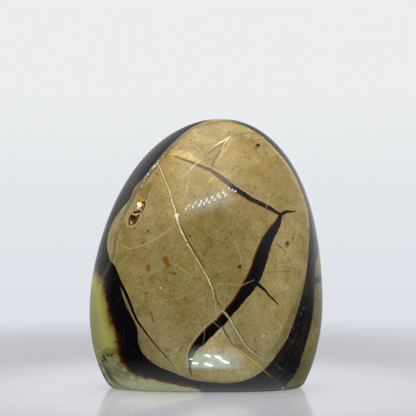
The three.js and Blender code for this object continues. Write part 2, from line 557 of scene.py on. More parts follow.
# %% The middle block
FACE_LOWER_LEFT = seen(
    (112.8, 263), (115, 270), (117.3, 277), (119.3, 284), (121.3, 291), (123.5, 298), (126.3, 305.5),
    (129.5, 312), (133, 319), (136.3, 325.5), (137.9, 332), (138.2, 340), (139.5, 346.5), (144, 354.5),
    (157, 365.5), (175, 373.2),
)
FACE_BOTTOM = seen((192, 379.6), (212, 382.3), (231, 383), (250, 378.5), (263.5, 370))
FACE_RIGHT = seen(
    (272.5, 360.5), (280, 350), (286.5, 340), (294, 321), (300.5, 300), (305, 280), (308, 260),
    (309.3, 240), (309.4, 225), (308, 210), (303, 194), (296, 177.5), (287, 162.5), (275, 148.5),
    (261.5, 135.8), (250, 128.7), (240, 124.2),
)
FACE_CROWN = seen((234, 121.8)) + around((90, 99.85)) + seen((204, 122))
FACE_UPPER_LEFT = seen(
    (192, 127.3), (180.5, 135.8), (170, 145.8), (160.3, 156.5), (151, 168), (142.5, 179), (134, 188.5),
    (130, 198.5), (121, 210), (113, 221.5), (108.2, 234), (107, 247), (109, 256), (110.5, 262),
)
FACE_MIDDLE = seen((210, 240))[0]

face_outline = FACE_LOWER_LEFT + FACE_BOTTOM + FACE_RIGHT + FACE_CROWN + FACE_UPPER_LEFT
face_inside = inside_outline(face_outline, FACE_MIDDLE)
store("face", face_inside)
print("the middle block covers", covered(face_inside), "% of the points")

# %% The outer blocks
RIGHT_BLOCK_FRONT = seen(
    (283, 388), (287, 384), (290.5, 380), (294, 376), (297, 370), (299.5, 365), (301.5, 358),
    (304.5, 348.5), (307, 340), (309.3, 332.5), (311.3, 324), (312.8, 314), (313.8, 303), (314.6, 290),
    (315.2, 275), (315.8, 262),
)
RIGHT_BLOCK_BACK = around(
    (4, 56), (14, 65), (30, 77), (52, 87), (78, 90.5), (90, 85), (86, 72), (77, 58), (83, 44), (95, 29),
    (102, 14), (103, 3),
)
RIGHT_BLOCK_UNDER = under((-4, 9), (6, 2), (13, -8))
RIGHT_BLOCK_MIDDLE = around((45, 45))[0]
LEFT_BLOCK = around(
    (178, 88), (182, 79), (180, 69), (172, 60), (162, 50), (152, 38), (146, 24), (146, 10), (150, 2),
) + under((-23, 3), (-15, 9)) + around(
    (124, 3), (123, 16), (117, 31), (106, 44), (98, 57), (104, 71), (112, 83), (128, 92), (152, 93),
)
LEFT_BLOCK_MIDDLE = around((140, 65))[0]

right_block = RIGHT_BLOCK_FRONT + RIGHT_BLOCK_BACK + RIGHT_BLOCK_UNDER
right_inside = inside_outline(right_block, RIGHT_BLOCK_MIDDLE)
left_inside = inside_outline(LEFT_BLOCK, LEFT_BLOCK_MIDDLE)
store("block", np.maximum(right_inside, left_inside))
print("the outer blocks cover", covered(right_inside), "and", covered(left_inside), "% of the points")

# %% Paler zones of the middle block
PALE_ZONE = seen(
    (158, 172), (168, 158), (190, 160), (214, 172), (232, 190), (238, 203), (224, 207), (206, 208),
    (186, 216), (170, 222), (160, 205),
)
PALE_ZONE_MIDDLE = seen((195, 185))[0]
PALE_FOOT = seen(
    (197, 349), (210, 337), (222, 329), (230, 338), (238, 348), (250, 358), (262, 369), (250, 377),
    (225, 381), (205, 378), (194, 371), (193.5, 360),
)
PALE_FOOT_MIDDLE = seen((222, 358))[0]
FOOT_SHARPNESS = 4  # the second pale zone ends more sharply than the first

pale_inside = inside_outline(PALE_ZONE, PALE_ZONE_MIDDLE)
pale_foot_inside = FOOT_SHARPNESS * inside_outline(PALE_FOOT, PALE_FOOT_MIDDLE)
store("pale_zone", np.maximum(pale_inside, pale_foot_inside))
print("the pale zones cover", covered(pale_inside), "and", covered(pale_foot_inside), "% of the points")

# %% Yellow calcite
YELLOW_FRINGE = seen(
    (94.5, 271), (98.5, 277), (102, 282), (103, 290), (104.6, 300), (106.2, 308), (108.7, 317), (112, 328),
    (115, 336), (116.5, 345), (117.5, 353), (120, 361.5), (125, 368), (131, 373), (138, 377), (150, 380),
    (165, 383.5), (180, 386), (196, 389.3),
)
YELLOW_UNDER = under((-2, -13), (-12, -9), (-24, -8))
YELLOW_SIDE = around((203, 1.5), (197, 7), (190, 13), (180, 19), (170, 24), (163, 31), (168, 38), (179, 44))
YELLOW_FRONT_MIDDLE = seen((98, 320))[0]
YELLOW_BACK = around(
    (113, 1), (113, 14), (107, 29), (95.5, 41), (88.5, 50), (87, 58), (92, 66), (96, 75), (99, 66),
    (93.5, 57), (98, 47), (111, 34), (117.5, 16), (118, 1),
) + under((-8, 9))
YELLOW_BACK_MIDDLE = around((113, 22))[0]

yellow_front = YELLOW_FRINGE + YELLOW_UNDER + YELLOW_SIDE
yellow_front_inside = inside_outline(yellow_front, YELLOW_FRONT_MIDDLE)
yellow_back_inside = inside_outline(YELLOW_BACK, YELLOW_BACK_MIDDLE)
yellow_inside = np.maximum(yellow_front_inside, yellow_back_inside)
store("yellow", yellow_inside)
print("yellow calcite covers", covered(yellow_inside), "% of the points")

# %% [markdown]
# ## The dark crack across the face
# A wide crack crosses the block from the upper left, turns sharply near the right edge and comes down to
# the bottom left. It is filled with the same dark calcite as the ring. Its width is given in millimetres at
# each point of its middle line, because a crack in drying mud widens and narrows with every bend. Thin
# cracks branch off it, and one thin crack runs along the block's lower left edge.

# %% The wide crack
# The darkness is kept low on the upper left, up to where the edge of the mirrored sky crosses the crack:
# there the grey brown is partly thin calcite and partly painted reflection.
SEPTUM = [  # x and y in the camera's view, width in millimetres, and how dark it is
    (175, 156.8, 0.3, 0.2), (182, 159.3, 0.5, 0.25), (190, 162, 0.8, 0.3), (196, 164.3, 1.1, 0.35),
    (203, 167.3, 1.3, 0.4), (210, 170, 1.4, 0.4), (217, 174.3, 1.8, 0.4), (223, 178.8, 2.2, 0.45),
    (229, 183, 2.4, 0.5), (232, 186, 2.3, 0.8), (234, 187.7, 2.2, 1), (239, 191.6, 2.3, 1),
    (246, 196, 2, 0.9), (250, 199, 1.7, 0.85), (260, 203.5, 2, 0.85), (270, 208.4, 1.6, 0.9),
    (275, 211.6, 1.4, 0.9), (280, 214.6, 1.5, 1), (278.8, 220, 2, 1), (276.3, 225, 2.9, 1),
    (273, 230, 3.5, 1), (267.3, 240, 4.2, 1), (263.3, 250, 4.7, 1), (260, 260, 5.1, 1),
    (256.8, 270, 5, 1), (252, 280, 4.9, 1), (249.2, 285, 4.9, 1), (245.9, 290, 4.5, 1),
    (242.1, 295, 4.1, 1), (238.6, 300, 3.6, 1), (234.7, 305, 3.6, 1), (230.2, 310, 3.45, 1),
    (222, 320, 3.6, 1), (216.5, 325, 3.3, 1), (211, 330, 3.8, 1), (201.2, 340, 3.7, 1),
    (196.5, 345, 2.9, 1), (192.8, 350, 2.5, 1), (190.8, 355, 2.1, 0.9), (190, 360, 1.3, 0.8),
    (190, 365, 1, 0.7), (190, 370, 0.7, 0.6), (191.5, 376, 0.3, 0.5),
]

septum_points = seen(*[(x, y) for x, y, _, _ in SEPTUM])
septum_widths = [width for _, _, width, _ in SEPTUM]
septum_darkness = [darkness for _, _, _, darkness in SEPTUM]
store_lines({"septum": [(septum_points, septum_widths, septum_darkness)]})
print("the wide crack is up to", max(septum_widths), "mm wide")

# %% Thin cracks
DARK_CRACKS = {
    "dark_cracks": [  # the wide crack's two branches, the one at the lower left, and one round the right side
        (seen((281, 214.8), (285, 212.2), (288.5, 211.3), (292, 211.8), (296.5, 210.5)),
         (1.3, 1.2, 1, 0.6, 0.25), 1),
        (seen((257, 283.5), (260, 286), (263, 288.5), (266, 291.5), (268.5, 295), (271, 297.5),
              (274.5, 300.5), (278.5, 304.8)), (1.2, 1.1, 1, 0.8, 0.7, 0.6, 0.5, 0.3), 1),
        (seen((114.3, 266), (116.3, 272), (118.7, 279), (121.3, 285), (124.5, 291), (128.6, 300),
              (132.5, 310), (136.8, 320), (140.4, 325.3), (144.2, 330.3), (150, 338), (160.5, 350.5),
              (168, 359), (172.5, 365), (175, 372)),
         (0.6, 1, 1.2, 1.35, 1.3, 1.15, 1.05, 0.85, 0.75, 0.7, 0.5, 0.42, 0.35, 0.28, 0.2),
         (1, 1, 1, 1, 1, 1, 1, 0.9, 0.5)),
        (seen((313, 280), (317.5, 280)) + around((2, 41), (12, 40), (24, 41), (34, 39)),
         (2, 2.4, 2.2, 1.5, 0.9, 0.3), 0.85),
    ],
}

store_lines(DARK_CRACKS)

# %% [markdown]
# ## Veins
# Later cracks were too narrow to take dark and yellow calcite in turn, so they are single thin veins: one
# long cream vein down the face with a grey shadow line beside it, a fan of pale ones under the crown, a
# golden one at the bottom, and a grey-green double vein that follows the upper left edge. A table lists
# each vein's lines by their points, widths and strengths, and one loop stores them all.

# %% Veins
VEINS = {
    "cream_vein": [  # down the whole face in two lengths, and a faint one beside its top
        (seen((159.5, 166), (162, 172.5), (166, 182), (169.5, 190), (171.5, 199), (174.5, 208),
              (176.5, 216), (179.3, 226), (184.7, 238), (190, 248), (196, 258), (202.5, 268.5),
              (206.5, 276), (209, 281), (211, 286), (213, 290.5), (214, 297), (215, 301)),
         (0.2, 0.28, 0.28, 0.28, 0.32, 0.45, 0.95, 0.55, 0.47, 0.36, 0.28, 0.34, 0.38, 0.42, 0.42, 0.35,
          0.3, 0.25),
         (0.5, 0.8, 0.75, 0.85, 0.95, 1, 1, 0.95, 0.85, 0.8, 0.8, 0.8, 0.85, 0.85, 0.8, 0.7, 0.5, 0.3)),
        (seen((221, 310.5), (224, 312), (227, 315.5), (230, 319), (232, 323), (234, 326.5), (237, 331),
              (240, 337), (244, 343), (248, 348), (252, 351.5), (256, 354.5), (263, 358)),
         0.36, (0.4, 0.7, 0.8, 0.9, 0.9, 0.9, 0.9, 0.9, 0.85, 0.8, 0.8, 0.7, 0.4)),
        (seen((189.5, 174), (188.5, 185), (184.5, 197.5)), (0.5, 0.7, 0.5), (0.12, 0.2, 0.1)),
    ],
    "crown_veins": [  # the brightest of the fan under the crown
        (seen((230.5, 136.5), (227, 139), (223, 141), (219, 143), (215.5, 145.5), (211, 149), (206, 154),
              (201, 159.5), (197, 162.8), (193, 166.5), (189.5, 170.5), (185, 176)),
         (0.4, 0.6, 0.5, 0.6, 0.4, 0.25, 0.22, 0.25, 0.3, 0.3, 0.25, 0.2),
         (0.7, 1, 0.9, 1, 0.6, 0.4, 0.35, 0.5, 0.7, 0.75, 0.5, 0.2)),
    ],
    "crown_twigs": [  # its branches, and pale threads along the wide crack and the block's right edge
        (seen((227, 140), (224, 144.5), (221.5, 149.5)), (0.35, 0.45, 0.3), (0.6, 0.8, 0.4)),
        (seen((214, 177), (209, 181.8)), 0.4, 0.6),
        (seen((215.3, 303), (216, 311), (216.5, 320)), 0.3, (0.4, 0.5, 0.3)),
        (seen((227.5, 330), (233, 328)), 0.25, 0.5),
        (seen((153, 186.5), (150, 194), (146.8, 201.5)), 0.35, (0.2, 0.35, 0.3)),
        (seen((205, 165), (213, 168.3), (221, 173.6), (229, 179.8), (237, 186.6), (247, 192.3), (258, 198),
              (268, 203.2), (277, 209.8)), 0.25, (0.4, 0.5, 0.7, 0.6, 0.3, 0.6, 0.4, 0.5, 0.3)),
        (seen((227, 306.5), (220, 314), (213, 320.5), (205, 327.5), (197, 336.5), (190.5, 345),
              (187.5, 353)), 0.35, (0.1, 0.3, 0.3, 0.5, 0.7, 0.8, 0.5)),
        (seen((262, 137.5), (275, 150.5), (286, 164), (294.8, 179), (301.5, 195), (306.3, 211),
              (307.8, 226)), 0.35, (0.3, 0.5, 0.6, 0.6, 0.6, 0.5, 0.2)),
    ],
    "gold_vein": [  # from the wide crack to the stone's right foot, and its short start
        (seen((235, 347), (240, 350.5), (243, 353.5), (247, 356.5), (252, 360), (256, 363.5), (260, 367),
              (263, 370), (273, 378), (283, 387)),
         (0.4, 0.5, 0.55, 0.6, 0.6, 0.65, 0.6, 0.5, 0.35, 0.3),
         (0.4, 0.7, 0.8, 0.9, 0.9, 1, 1, 0.4, 0.12, 0.1)),
        (seen((225, 334.5), (229, 340), (233, 344.5)), 0.4, (0.3, 0.55, 0.3)),
    ],
    "green_vein": [  # along the upper left edge, under the crown, and over the top
        (seen((211, 122.3), (200, 126.3), (190, 131), (180, 138.7), (170, 148.8), (160, 160.3),
              (148, 175.5), (140.5, 186), (134, 195), (129, 205), (122.5, 216.5), (117.5, 231), (115, 243),
              (113, 256), (108, 267), (101.5, 279), (97, 285)),
         (0.8, 1.9, 2.1, 2.1, 2.1, 2.1, 2.2, 2.6, 2.7, 2.1, 1.9, 1.6, 1.3, 1.3, 1.5, 2.1, 1.5),
         (0.4, 0.6, 0.65, 0.7, 0.8, 0.85, 0.85, 0.85, 0.8, 0.75, 0.8, 0.8, 0.7, 0.7, 0.8, 0.85, 0.6)),
        (seen((229.5, 137), (236, 135.2), (244, 133.6), (252, 133.2), (260, 134.8)),
         0.75, (0.2, 0.6, 0.75, 0.7, 0.4)),
        (seen((206, 124.4), (212, 123.2), (220, 121), (228, 120.8), (236, 122.7), (243, 125)),
         (1.8, 1.6, 2.2, 2.6, 2.4, 1.6), (0.7, 0.8, 0.5, 0.8, 0.9, 0.6)),
    ],
    "flecked": [  # grains of white calcite
        (seen((168, 152), (160, 160.5), (152, 169), (145.5, 177.5), (140.5, 187)),
         1.1, (0.3, 0.9, 1, 0.5, 0.6)),
        (seen((209, 124), (199, 127.5), (189, 133), (178, 142)), 0.8, (0.1, 0.25, 0.25, 0.2)),
        (seen((124, 212), (120, 222), (117.5, 232)), 0.6, (0.3, 0.6, 0.3)),
        (seen((275.5, 365.3), (278, 367.3), (280.5, 369)), 0.45, 0.25),
        (seen((291, 340), (293, 342), (295, 345)), 0.9, 0.05),
        (seen((293, 327.5), (296, 331)), 1, 0.05),
        (seen((302.5, 307.5), (304, 309)), 0.9, 0.1),
        (seen((297, 341.5), (299, 343)), 1, 0.05),
        (seen((134.5, 328.5), (136, 330)), 0.4, 0.15),
    ],
}

store_lines(VEINS)

# %% [markdown]
# ## Stains
# Iron and clay have stained the stone along some cracks. A stain is a broad, faint line with a soft edge, so
# it is stored just as a vein is. Two of these lines aren't stains, but are stored in the same way: the closed
# end of the slot above the open pocket, and a painted dark edge round the lowest left rim, for the shade and
# dim reflection where the skin turns away there.

# %% Stains
STAINS = {
    "stains": [  # brown in the dark ring, and tan along the block's lower right edge
        (seen((271, 363.5), (278, 357.5), (283, 353.5), (287.5, 349)), 0.8, 0.8),
        (seen((278, 352), (282, 348.5), (286, 345)), 2, 0.5),
        (seen((303.5, 328), (301.5, 340), (300, 352)), 1.6, 0.5),
        (seen((311, 262), (308.5, 280), (305, 300)), 2.4, (0.1, 0.3, 0.15)),
        (seen((284.5, 386.8), (291, 387.6), (297, 385.6)), (1, 1.4, 1.2), 0.75),
        (seen((215, 389), (232, 389.6), (255, 389.4)), (0.6, 1.4, 0.8), 0.5),
        (seen((302.5, 287), (298.5, 300), (294, 311), (289.5, 321), (286, 330), (281.5, 339), (276, 348),
              (268.5, 357), (260, 365)),
         (1.2, 1.8, 2.4, 2.8, 2.8, 2.4, 2, 1.6, 0.8), (0.1, 0.2, 0.32, 0.36, 0.36, 0.32, 0.28, 0.2, 0.1)),
        (seen((236, 344), (241, 347.5), (246, 352)), (1.2, 2.6, 2), (0.2, 0.35, 0.2)),
        (seen((116, 352), (109, 351.5), (104, 355), (103, 361)), (2, 2.8, 3, 2), (0.3, 0.4, 0.5, 0.3)),
    ],
    "left_rim_shade": [  # painted shade and dim reflection along the lowest left rim
        (seen((98.5, 356), (101.5, 362), (104.5, 368), (108, 375), (112, 380), (118, 385.5), (126, 388.5),
              (138, 390)),
         (0.8, 1.4, 1.7, 1.8, 1.7, 1.3, 0.9, 0.4), (0.3, 0.8, 0.95, 0.95, 0.9, 0.8, 0.7, 0.4)),
    ],
    "slot_fill": [  # the closed end of the slot, above the open pocket
        (seen((140, 198.5), (144, 192), (150.5, 184)), (2.4, 3.6, 1.6), (0.8, 0.9, 0.6)),
    ],
    "gold_zone": [  # golden mudstone where the wide crack starts and under the crown
        (seen((174.5, 153.5), (181, 153), (188, 156), (195, 160), (201, 162.5)),
         (1.4, 3, 3, 1.6, 0.8), 0.8),
        (seen((231, 140), (227, 146), (222, 153), (218, 161)), (0.8, 1.4, 1.6, 0.8), 0.5),
        (seen((196, 134), (204, 141), (212, 141)), (1.5, 3, 1.5), 0.35),
    ],
    "rust_band": [  # across the open pocket, where its two lobes meet
        (seen((137.4, 194.2), (139.5, 197.8), (142.6, 200.6), (145.6, 203.2)),
         (0.4, 0.7, 1, 1.1), (0.6, 0.9, 1, 1)),
    ],
}

store_lines(STAINS)

# %% [markdown]
# ## Hairlines and scratches
# Fainter hairlines cross the mudstone, pale where calcite heals them and dark where they stay open. The
# polish also shows many short scratches and hair-thin veinlets in every direction. Those are scattered with
# a fixed seed, so that they lie in the same places on every run.

# %% Hairlines
HAIRLINES = {
    "pale_hairs": [  # healed with calcite
        (seen((120, 245), (129, 248.5), (136, 247), (144, 245), (151, 241), (160, 236), (175, 225.5)),
         0.28, 0.6),
        (seen((215, 284.8), (228, 283.7), (240, 286)), 0.25, 0.4),
        (seen((241, 286), (247, 283), (254, 280)), 0.25, (0.3, 0.45, 0.3)),
        (seen((149, 304), (167, 300), (184.7, 297)), 0.3, (0.3, 0.5, 0.3)),
        (seen((234, 241), (240, 253.6), (241.5, 263)), 0.25, 0.5),
        (seen((175, 264), (183, 270), (192, 275.5)), 0.35, (0.2, 0.45, 0.2)),
        (seen((203, 345), (204.5, 330), (202, 318)), 0.3, (0.1, 0.3, 0.1)),
        (seen((268, 200), (266.5, 207)), 0.3, 0.6),
        (seen((274, 285), (280, 286.5), (286, 291), (288.5, 297)), 0.22, (0.3, 0.5, 0.5, 0.3)),
        (seen((281, 281.5), (286, 284), (289, 289)), 0.2, 0.45),
        (seen((262, 279), (270, 276), (280, 275.5), (291, 279)), 0.22, (0.15, 0.3, 0.1)),
        (seen((142.8, 295.3), (142.3, 299)), 0.3, 0.8),
        (seen((205, 318), (213, 322), (219, 327)), 0.25, (0.2, 0.5, 0.3)),
        (around((60, 72), (52, 58), (58, 44), (50, 30)), 0.4, (0.3, 0.8, 0.7, 0.3)),
        (around((52, 58), (38, 52), (26, 55)), 0.35, (0.8, 0.5, 0.2)),
        (around((128, 78), (140, 66), (150, 57)), 0.4, (0.4, 0.8, 0.3)),
        (around((140, 66), (124, 58), (116, 48)), 0.35, (0.7, 0.5, 0.2)),
        (around((20, 24), (34, 20), (52, 22), (74, 18)), 0.35, (0.3, 0.7, 0.6, 0.2)),
    ],
    "dark_hairs": [  # still open
        (seen((264, 272.5), (284, 271.5), (303, 272.5)), 0.28, (0.5, 0.6, 0.2)),
        (seen((277, 243), (280, 246), (283, 249), (286, 254)), 0.35, (0.5, 1, 1, 0.5)),
        (seen((289, 258), (290, 264)), 0.3, 0.6),
        (seen((222, 326), (225, 332), (228, 337), (231, 342), (235, 346.5)),
         0.65, (0.7, 0.9, 0.9, 0.9, 0.7)),
        (seen((226, 141.5), (222, 148), (217.5, 154.5), (214, 160.5), (211.5, 167)),
         0.5, (0.3, 0.6, 0.75, 0.75, 0.7)),
        (seen((224, 143), (216, 147.5), (211, 150.8), (206.5, 154), (199, 160.5)),
         0.95, (0.2, 0.5, 0.6, 0.5, 0.2)),
        (seen((151, 312), (153.5, 322)), 0.45, 0.8),
        (seen((214.5, 290), (216, 299), (219, 304), (222, 309)), 0.45, (0.6, 0.8, 0.8, 0.5)),
        (seen((181.5, 226), (187, 238.5), (193, 248.5), (199, 258.5), (205, 268)),
         0.42, (0.4, 1, 1, 0.9, 0.5)),
        (seen((187, 181), (183, 190), (180.5, 200)), 0.3, (0.2, 0.3, 0.1)),
        (seen((150.5, 185.5), (148, 194), (145, 202)), 0.4, (0.3, 0.6, 0.6)),
        (seen((175, 156), (183, 158.6), (192, 161.5), (201, 165)), 0.3, (0.8, 0.9, 0.8, 0.4)),
        (around((70, 62), (60, 50), (66, 36)), 0.4, (0.3, 0.8, 0.4)),
    ],
}

store_lines(HAIRLINES)

# %% Scratches
SCRATCHES = 190
SCRATCH_HEIGHTS = (4, 97)
SCRATCH_LENGTHS = (1.2, 6.5)
SCRATCH_BEND = 0.14  # how far its middle leaves the straight line, as a share of the length
SCRATCH_WIDTHS = (0.12, 0.26)
SCRATCH_STRENGTHS = (0.25, 0.9)
scratch_chance = random.Random(3)


def scratch():
    """The points, width and strength of one short line somewhere on the stone."""
    start = Vector(around((scratch_chance.uniform(0, 360), scratch_chance.uniform(*SCRATCH_HEIGHTS)))[0])
    outward = skin_tree.find_nearest(start)[1]
    way = outward.orthogonal().normalized()
    way.rotate(Quaternion(outward, scratch_chance.uniform(0, math.tau)))
    length = scratch_chance.uniform(*SCRATCH_LENGTHS)
    bend = outward.cross(way) * length * scratch_chance.uniform(-SCRATCH_BEND, SCRATCH_BEND)
    points = [tuple(start), tuple(start + way * length / 2 + bend), tuple(start + way * length)]
    return points, scratch_chance.uniform(*SCRATCH_WIDTHS), scratch_chance.uniform(*SCRATCH_STRENGTHS)


store_lines({"scratches": [scratch() for _ in range(SCRATCHES)]})

# %% [markdown]
# ## Spots
# Mudstone is full of small things: iron stains, fossil crumbs and pin holes. The ones that stand out are
# listed as round spots, and each mesh point keeps how far inside the nearest spot it lies.

# %% Spots
SPOTS = {  # x and y in the camera's view, and the width in millimetres
    "dark_spots": [
        (258.2, 145.3, 1.7), (256.3, 148, 0.9), (266.6, 153, 0.8), (292.8, 238, 0.8), (148, 231, 0.8),
        (171.5, 173, 0.7), (157, 174, 0.7), (239.7, 266.8, 1.4), (226.3, 239, 0.8), (231, 234.5, 0.7),
        (190, 236, 0.8), (246, 228.5, 0.6), (242.5, 231, 0.6), (174.6, 273.7, 0.9), (169.5, 272.5, 0.7),
        (141, 283, 0.9), (229.3, 132.5, 0.9), (229.2, 135, 0.7), (191, 140, 0.7), (194.5, 196.5, 0.7),
        (220.5, 160, 0.5), (246, 250, 0.6), (104.3, 357.6, 1.7), (105.6, 360.6, 1.2), (108.3, 355.6, 1.5),
        (111.4, 355.2, 1.3), (102.6, 361, 1.2), (113.2, 353.4, 0.9),
    ],
    "amber_spots": [
        (165, 258.7, 2), (166.6, 261.4, 1.9), (168, 265.3, 1.6), (148.3, 266.5, 1.5), (148, 269, 1.4),
        (146.5, 293, 1.3), (184.7, 298.5, 1), (216.7, 274, 0.9), (168.5, 300, 0.8), (140, 277.5, 0.9),
        (287.5, 243, 1.7), (286.6, 246.3, 1.3), (157, 174, 0.9), (190, 140, 0.7), (148.3, 231.3, 1.1),
    ],
    # the spot at 263.7, 335.5 is a painted highlight, the glint of a small pit
    "pale_spots_and_glint": [
        (177, 350, 0.7), (179, 347.5, 0.5), (160.5, 288, 0.7), (263.7, 335.5, 0.8), (283, 388, 0.9),
        (117, 372, 0.8), (134, 383, 1), (148.5, 358, 0.5), (176.6, 215.5, 1.6),
    ],
}
NO_SPOT = -3.0


def spot_field(spots):
    field = np.full(len(mesh_points), NO_SPOT)
    for x, y, width in spots:
        centre = np.array(seen((x, y))[0])
        field = np.maximum(field, width / 2 - np.linalg.norm(mesh_points - centre, axis=1))
    return field


for name, spots in SPOTS.items():
    store(name, spot_field(spots))
    print(name, "holds", len(spots), "spots")

# %% [markdown]
# ## Clouds and painted light
# No block of mudstone is evenly tan: it is lighter, darker or greyer in soft patches a centimetre across. The
# same patches also carry painted light: some of the brighter, bluer ones stand for light and the polish's
# sheen falling on the face.
# They are listed one by one, because they are what the eye knows a stone by. Each patch fades out evenly from
# its middle and multiplies the colour that lies under it.

# %% Clouds and painted light
CLOUDS_AND_PAINTED_LIGHT = [  # x and y in the camera's view, radius in millimetres, how much brighter and how much bluer
    (208, 126, 5, -0.2, 0), (224, 157, 6, 0.18, 0), (195, 173, 4, -0.12, 0), (150, 225, 7, 0.12, 0.25),
    (170, 264, 8, -0.2, -0.12), (186, 284, 6, -0.12, -0.1), (225, 284, 5, -0.22, -0.1),
    (286, 228, 7, 0.28, 0.2), (286, 255, 7, 0.3, 0.25), (280, 278, 6, 0.2, 0.1), (278, 300, 7, 0.32, 0.2),
    (272, 330, 5, 0.14, 0.1), (144, 342, 3, -0.4, 0), (160, 364, 3, -0.25, 0), (178, 358, 5, 0.26, 0),
    (215, 344, 7, 0.2, 0.35), (300, 376, 5, -0.25, 0), (318, 300, 5, -0.1, 0), (96, 292, 6, -0.1, -0.1),
    (112, 366, 4, -0.34, 0), (113, 380, 3, -0.34, 0), (140, 382, 4, 0.12, 0), (102, 332, 5, 0.12, 0),
    (162, 170, 5, -0.2, 0.2), (160, 188, 5, -0.14, 0), (176, 139, 4, -0.2, 0), (192, 155, 4, 0.12, 0.1),
    (226, 173, 4, 0.14, 0.1), (262, 142, 5, -0.14, 0.1), (282, 168, 6, -0.12, 0.12),
    (256, 190, 5, 0.12, 0.2), (232, 205, 4, -0.12, 0.1), (112, 220, 3, -0.2, 0.2),
    (128, 284, 3, 0.15, 0.15), (256, 300, 4, 0.14, 0.15), (160, 334, 6, 0.14, 0.25),
    (162, 350, 4, 0.08, 0.15), (152, 204, 5, 0, 0.2), (192, 262, 6, 0, -0.18), (305, 364, 6, -0.42, -0.1),
    (106, 346, 4, 0.18, 0), (222, 250, 8, -0.1, 0), (206, 232, 5, -0.06, 0),
]

# the stone's own clouds and painted light, as one colour factor at each point
clouds = np.ones((len(mesh_points), 3))
for x, y, radius, gain, blue in CLOUDS_AND_PAINTED_LIGHT:
    centre = np.array(seen((x, y))[0])
    share = np.exp(-((mesh_points - centre)**2).sum(axis=1) / radius**2)
    clouds += share[:, None] * (gain, gain, gain + blue)
store("clouds", clouds)
print("the clouds change the colour by", clouds.min().round(2), "to", clouds.max().round(2), "times")

# %% The pocket's wall
POCKET_REACH = 3  # the distance to the pocket is kept up to this


def outside_lobe(points, lobe):
    """About how far each point lies outside a lobe of the pocket."""
    back = np.array(pocket_frame(lobe).inverted())
    local = points @ back[:3, :3].T + back[:3, 3]
    return (np.linalg.norm(local / np.array(lobe_axes(lobe)), axis=1) - 1) * lobe["width"] / 2


slot_gap, hole_gap = [outside_lobe(mesh_points, lobe).clip(-POCKET_REACH, POCKET_REACH) for lobe in LOBES]
store("pocket", np.minimum(slot_gap, hole_gap))
store("hole", hole_gap)
print("the mesh carries", len(stone.data.attributes), "sets of numbers")

# %% [markdown]
# ## Writing shader nodes
# Materials are built from nodes. A few short helpers keep the trees readable: each adds one node, connects
# or sets its inputs, and gives back its output. A colour is written as the hex code a paint chart would
# show, and turned into the even scale that light adds up in.

# %% Node helpers: colours and sums
def paint(code):
    """A hex colour as Blender's linear colour."""
    parts = [int(code[place:place + 2], 16) / 255 for place in (1, 3, 5)]
    linear = [part / 12.92 if part <= 0.04045 else ((part + 0.055) / 1.055) ** 2.4 for part in parts]
    return (*linear, 1.0)


def feed(tree, value, socket):
    """Links another node's output to a socket, or sets the socket to a hex colour or a plain value."""
    if isinstance(value, bpy.types.NodeSocket):
        tree.links.new(value, socket)
    else:
        socket.default_value = paint(value) if isinstance(value, str) else value


def sums(tree, operation, *values, clamp=False):
    node = tree.nodes.new("ShaderNodeMath")
    node.operation = operation
    node.use_clamp = clamp
    for value, socket in zip(values, node.inputs):
        feed(tree, value, socket)
    return node.outputs[0]


def plus(tree, first, second):
    return sums(tree, "ADD", first, second)


def minus(tree, first, second):
    return sums(tree, "SUBTRACT", first, second)


def times(tree, first, second):
    return sums(tree, "MULTIPLY", first, second)


def times_plus(tree, first, second, third, clamp=False):
    return sums(tree, "MULTIPLY_ADD", first, second, third, clamp=clamp)


print("a mid grey of #808080 is", round(paint("#808080")[0], 3), "on the even scale")

# %% Node helpers: masks and mixes
BLEND_SHARE, BLEND_UNDER, BLEND_OVER, BLENDED = 0, 6, 7, 2  # a Mix node's sockets when it mixes colours


def eased(tree, value, low, high, start=0.0, end=1.0):
    """Runs smoothly from start, where value is low, to end, where it is high."""
    node = tree.nodes.new("ShaderNodeMapRange")
    node.interpolation_type = "SMOOTHSTEP"
    for amount, socket in zip((value, low, high, start, end), node.inputs):
        feed(tree, amount, socket)
    return node.outputs[0]


def layered(tree, share, under_colour, over_colour, kind="MIX"):
    node = tree.nodes.new("ShaderNodeMix")
    node.data_type = "RGBA"
    node.blend_type = kind
    feed(tree, share, node.inputs[BLEND_SHARE])
    feed(tree, under_colour, node.inputs[BLEND_UNDER])
    feed(tree, over_colour, node.inputs[BLEND_OVER])
    return node.outputs[BLENDED]


def graded(tree, value, stops):
    """A colour that changes with value from stop to stop. A stop is a position and a hex colour."""
    node = tree.nodes.new("ShaderNodeValToRGB")
    feed(tree, value, node.inputs[0])
    points = node.color_ramp.elements
    while len(points) < len(stops):
        points.new(0.5)
    for point, (position, code) in zip(points, stops):
        point.position = position
        point.color = paint(code)
    return node.outputs[0]


print("a mix takes its share from socket", BLEND_SHARE)

# %% Node helpers: places and patterns
def noise(tree, place, size, detail=2.0, roughness=0.5, distortion=0.0):
    """Soft noise around 0.5 whose blobs are about size across, in the units of place."""
    node = tree.nodes.new("ShaderNodeTexNoise")
    feed(tree, place, node.inputs["Vector"])
    node.inputs["Scale"].default_value = 1 / size
    node.inputs["Detail"].default_value = detail
    node.inputs["Roughness"].default_value = roughness
    node.inputs["Distortion"].default_value = distortion
    return node.outputs[0]


def cells(tree, place, size, feature="F1"):
    """The distance to the middle of the nearest of many scattered cells, or to the nearest cell's edge."""
    node = tree.nodes.new("ShaderNodeTexVoronoi")
    node.feature = feature
    feed(tree, place, node.inputs["Vector"])
    node.inputs["Scale"].default_value = 1 / size
    return node.outputs["Distance"]


def vector_times(tree, first, second):
    node = tree.nodes.new("ShaderNodeVectorMath")
    node.operation = "MULTIPLY"
    feed(tree, first, node.inputs[0])
    feed(tree, second, node.inputs[1])
    return node.outputs[0]


